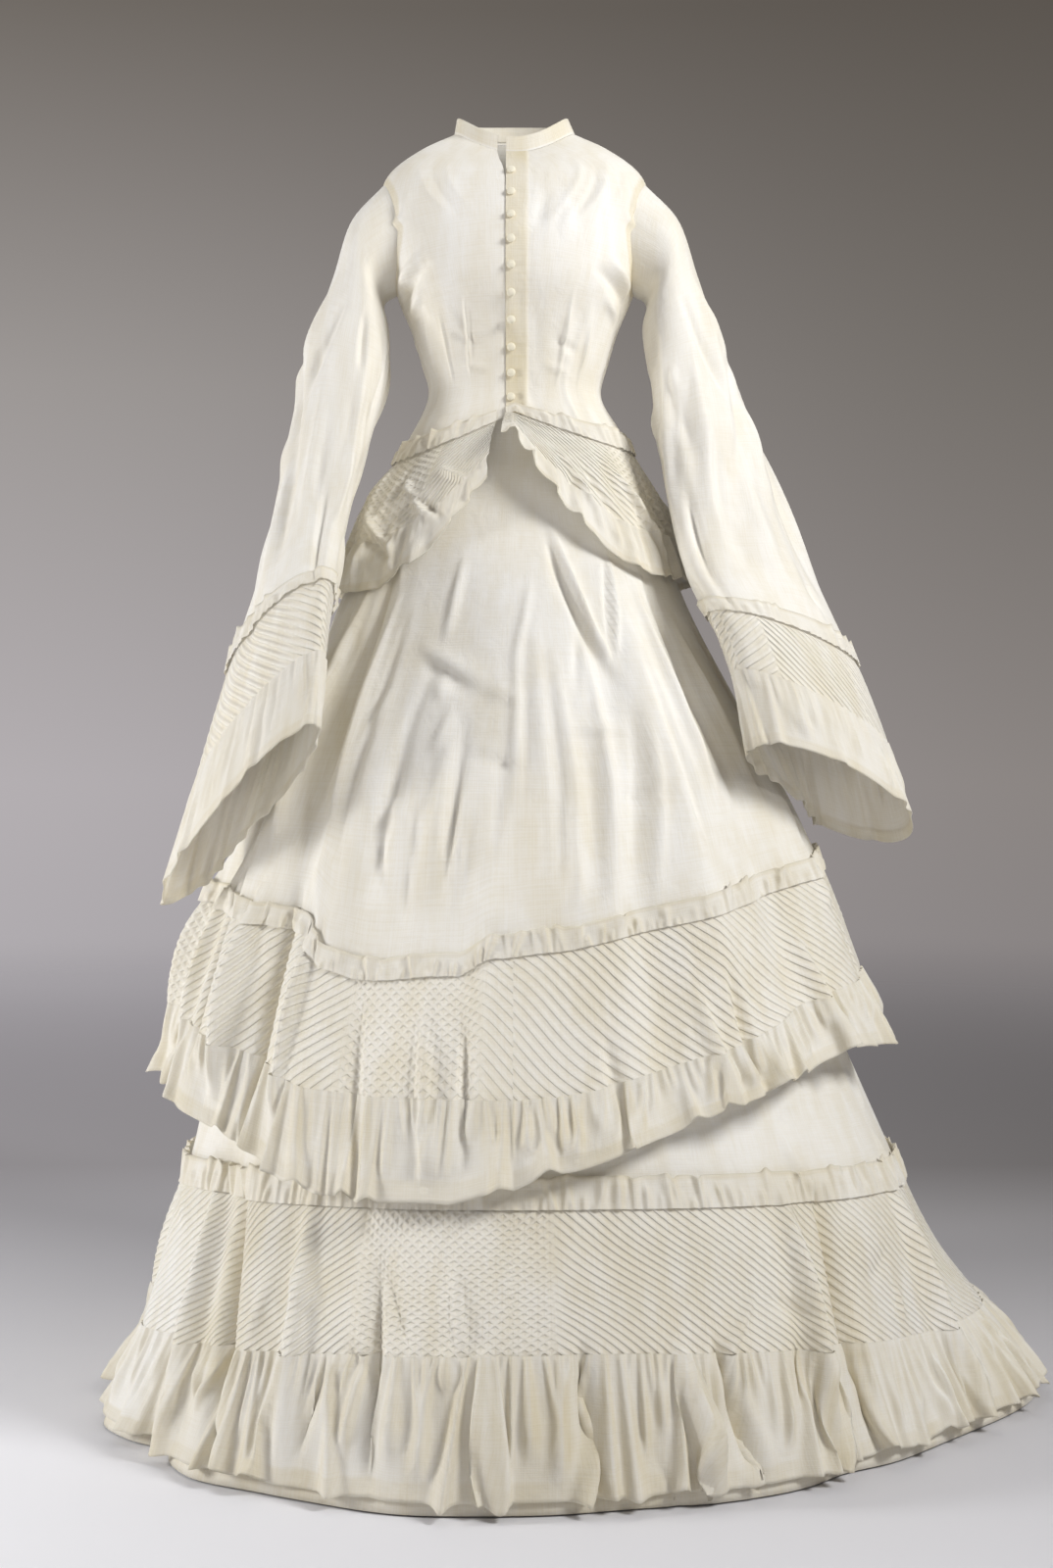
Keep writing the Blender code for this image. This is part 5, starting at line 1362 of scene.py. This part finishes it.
def make_stage():
    material = bpy.data.materials.new("matt_paper_floor")
    material.use_nodes = True
    tree = material.node_tree
    shader = tree.nodes["Principled BSDF"]
    place = add_node(tree, "ShaderNodeTexCoord")
    split = add_node(tree, "ShaderNodeSeparateXYZ", links={"Vector": place.outputs["Object"]})
    # The floor's colours are painted light and shade: lighter to the left, darker to the right, with a painted shadow
    # band behind the dress.
    side = mapped(tree, split.outputs["X"], -PAPER_HALF, PAPER_HALF, 0.0, 1.0)
    depth = maths(tree, "SUBTRACT", split.outputs["Y"], FLOOR_NEAR)
    depth = maths(tree, "DIVIDE", depth, FLOOR_FAR - FLOOR_NEAR)
    paper = mixed(tree, side, *[graded(tree, depth, stops) for stops in (LIT_LEFT_FLOOR, SHADED_RIGHT_FLOOR)])
    tree.links.new(paper, shader.inputs["Base Color"])
    squares = [maths(tree, "MULTIPLY", split.outputs[axis], split.outputs[axis]) for axis in "XY"]
    away = maths(tree, "SQRT", maths(tree, "ADD", *squares))
    tree.links.new(mapped(tree, away, *FLOOR_FADES, 1.0, 0.0), shader.inputs["Alpha"])
    shader.inputs["Roughness"].default_value = 0.9
    shader.inputs["Specular IOR Level"].default_value = 0.1
    ends = ((-FLOOR_HALF, -FLOOR_HALF), (FLOOR_HALF, -FLOOR_HALF), (FLOOR_HALF, FLOOR_FAR), (-FLOOR_HALF, FLOOR_FAR))
    corners = [(x, y, -HOLD_HEIGHT) for x, y in ends]
    mesh = bpy.data.meshes.new("floor")
    mesh.from_pydata(corners, [], [(0, 1, 2, 3)])
    mesh.materials.append(material)
    floor = bpy.data.objects.new("floor", mesh)
    bpy.context.scene.collection.objects.link(floor)

    world = bpy.data.worlds.new("studio")
    bpy.context.scene.world = world
    world.use_nodes = True
    tree = world.node_tree
    back = tree.nodes["Background"]
    place = add_node(tree, "ShaderNodeTexCoord")
    split = add_node(tree, "ShaderNodeSeparateXYZ", links={"Vector": place.outputs["Generated"]})
    # The backdrop's colours are painted light and shade, lighter to the left than to the right and darker upwards.
    side = mapped(tree, split.outputs["X"], -WALL_HALF, WALL_HALF, 0.0, 1.0)
    height = maths(tree, "ADD", split.outputs["Z"], WALL_START)
    walls = [graded(tree, height, stops) for stops in (LIT_LEFT_WALL, SHADED_RIGHT_WALL)]
    tree.links.new(mixed(tree, side, *walls), back.inputs["Color"])
    back.inputs["Strength"].default_value = 1.0

    for lamp in LAMPS:
        light = bpy.data.lights.new(lamp.name, "AREA")
        light.shape, light.size, light.energy = "SQUARE", lamp.size, lamp.power
        lit = bpy.data.objects.new(lamp.name, light)
        lit.location = lamp.place
        lit.rotation_euler = (Vector(lamp.aim) - Vector(lamp.place)).to_track_quat("-Z", "Y").to_euler()
        bpy.context.scene.collection.objects.link(lit)

    view = bpy.data.cameras.new("camera")
    view.lens, view.sensor_width = LENS, SENSOR
    camera = bpy.data.objects.new("camera", view)
    camera.location = (*CAMERA_AT, CAMERA_HEIGHT - HOLD_HEIGHT)
    camera.rotation_euler = (math.radians(90), 0.0, 0.0)
    bpy.context.scene.collection.objects.link(camera)
    bpy.context.scene.camera = camera
    # White cloth keeps the contrast of its folds with this transform.
    bpy.context.scene.view_settings.view_transform = "Standard"


def make_sleeves():
    whole = whole_bodice()[0]
    sizes = bpy.context.scene.dress_sizes
    make_sleeve("left", 1, LEFT_SLEEVE, whole, sizes.seed + 60)
    make_sleeve("right", -1, RIGHT_SLEEVE, whole, sizes.seed + 70)


class MakeBodice(bpy.types.Operator):
    """Makes the bodice's six panels with their armholes and seams"""

    bl_idname = "dress.bodice"
    bl_label = "Bodice"

    def execute(self, context):
        make_bodice()
        return {"FINISHED"}


class MakeCollar(bpy.types.Operator):
    """Makes the standing collar"""

    bl_idname = "dress.collar"
    bl_label = "Collar"

    def execute(self, context):
        make_collar()
        return {"FINISHED"}


class MakeButtons(bpy.types.Operator):
    """Makes the covered buttons down the front"""

    bl_idname = "dress.buttons"
    bl_label = "Buttons"

    def execute(self, context):
        make_buttons()
        return {"FINISHED"}


class MakePeplum(bpy.types.Operator):
    """Makes the peplum's heading, tucked band and frill"""

    bl_idname = "dress.peplum"
    bl_label = "Peplum"

    def execute(self, context):
        make_peplum()
        return {"FINISHED"}


class MakeSleeves(bpy.types.Operator):
    """Makes both sleeves with their headings, bands and frills"""

    bl_idname = "dress.sleeves"
    bl_label = "Sleeves"

    def execute(self, context):
        make_sleeves()
        return {"FINISHED"}


class MakeOverskirt(bpy.types.Operator):
    """Makes the apron, the puffed back, and their tucked band and frill"""

    bl_idname = "dress.overskirt"
    bl_label = "Overskirt"

    def execute(self, context):
        make_overskirt()
        return {"FINISHED"}


class MakeUnderskirt(bpy.types.Operator):
    """Makes the trained underskirt with its tucked band and flounce"""

    bl_idname = "dress.underskirt"
    bl_label = "Underskirt"

    def execute(self, context):
        make_underskirt()
        return {"FINISHED"}


class MakeStage(bpy.types.Operator):
    """Makes the floor, the lights and the camera"""

    bl_idname = "dress.stage"
    bl_label = "Stage"

    def execute(self, context):
        make_stage()
        return {"FINISHED"}


OPERATORS = (
    MakeStage, MakeBodice, MakeCollar, MakeButtons, MakePeplum, MakeSleeves, MakeOverskirt, MakeUnderskirt
)


class DressPanel(bpy.types.Panel):
    """Lists the sizes, the colours and the pieces"""

    bl_idname = "VIEW3D_PT_dress"
    bl_label = "Dress"
    bl_space_type = "VIEW_3D"
    bl_region_type = "UI"
    bl_category = "Dress"

    def draw(self, context):
        for group in (context.scene.dress_sizes, context.scene.dress_colours):
            for name in group.__annotations__:
                self.layout.prop(group, name)
        for operator in OPERATORS:
            self.layout.operator(operator.bl_idname)


CLASSES = (DressSizes, DressColours, *OPERATORS, DressPanel)


def register():
    for each in CLASSES:
        bpy.utils.register_class(each)
    bpy.types.Scene.dress_sizes = PointerProperty(type=DressSizes)
    bpy.types.Scene.dress_colours = PointerProperty(type=DressColours)


def unregister():
    del bpy.types.Scene.dress_colours, bpy.types.Scene.dress_sizes
    for each in reversed(CLASSES):
        bpy.utils.unregister_class(each)


def main():
    register()
    for operator in OPERATORS:
        group, name = operator.bl_idname.split(".")
        getattr(getattr(bpy.ops, group), name)()


if __name__ == "__main__":
    main()
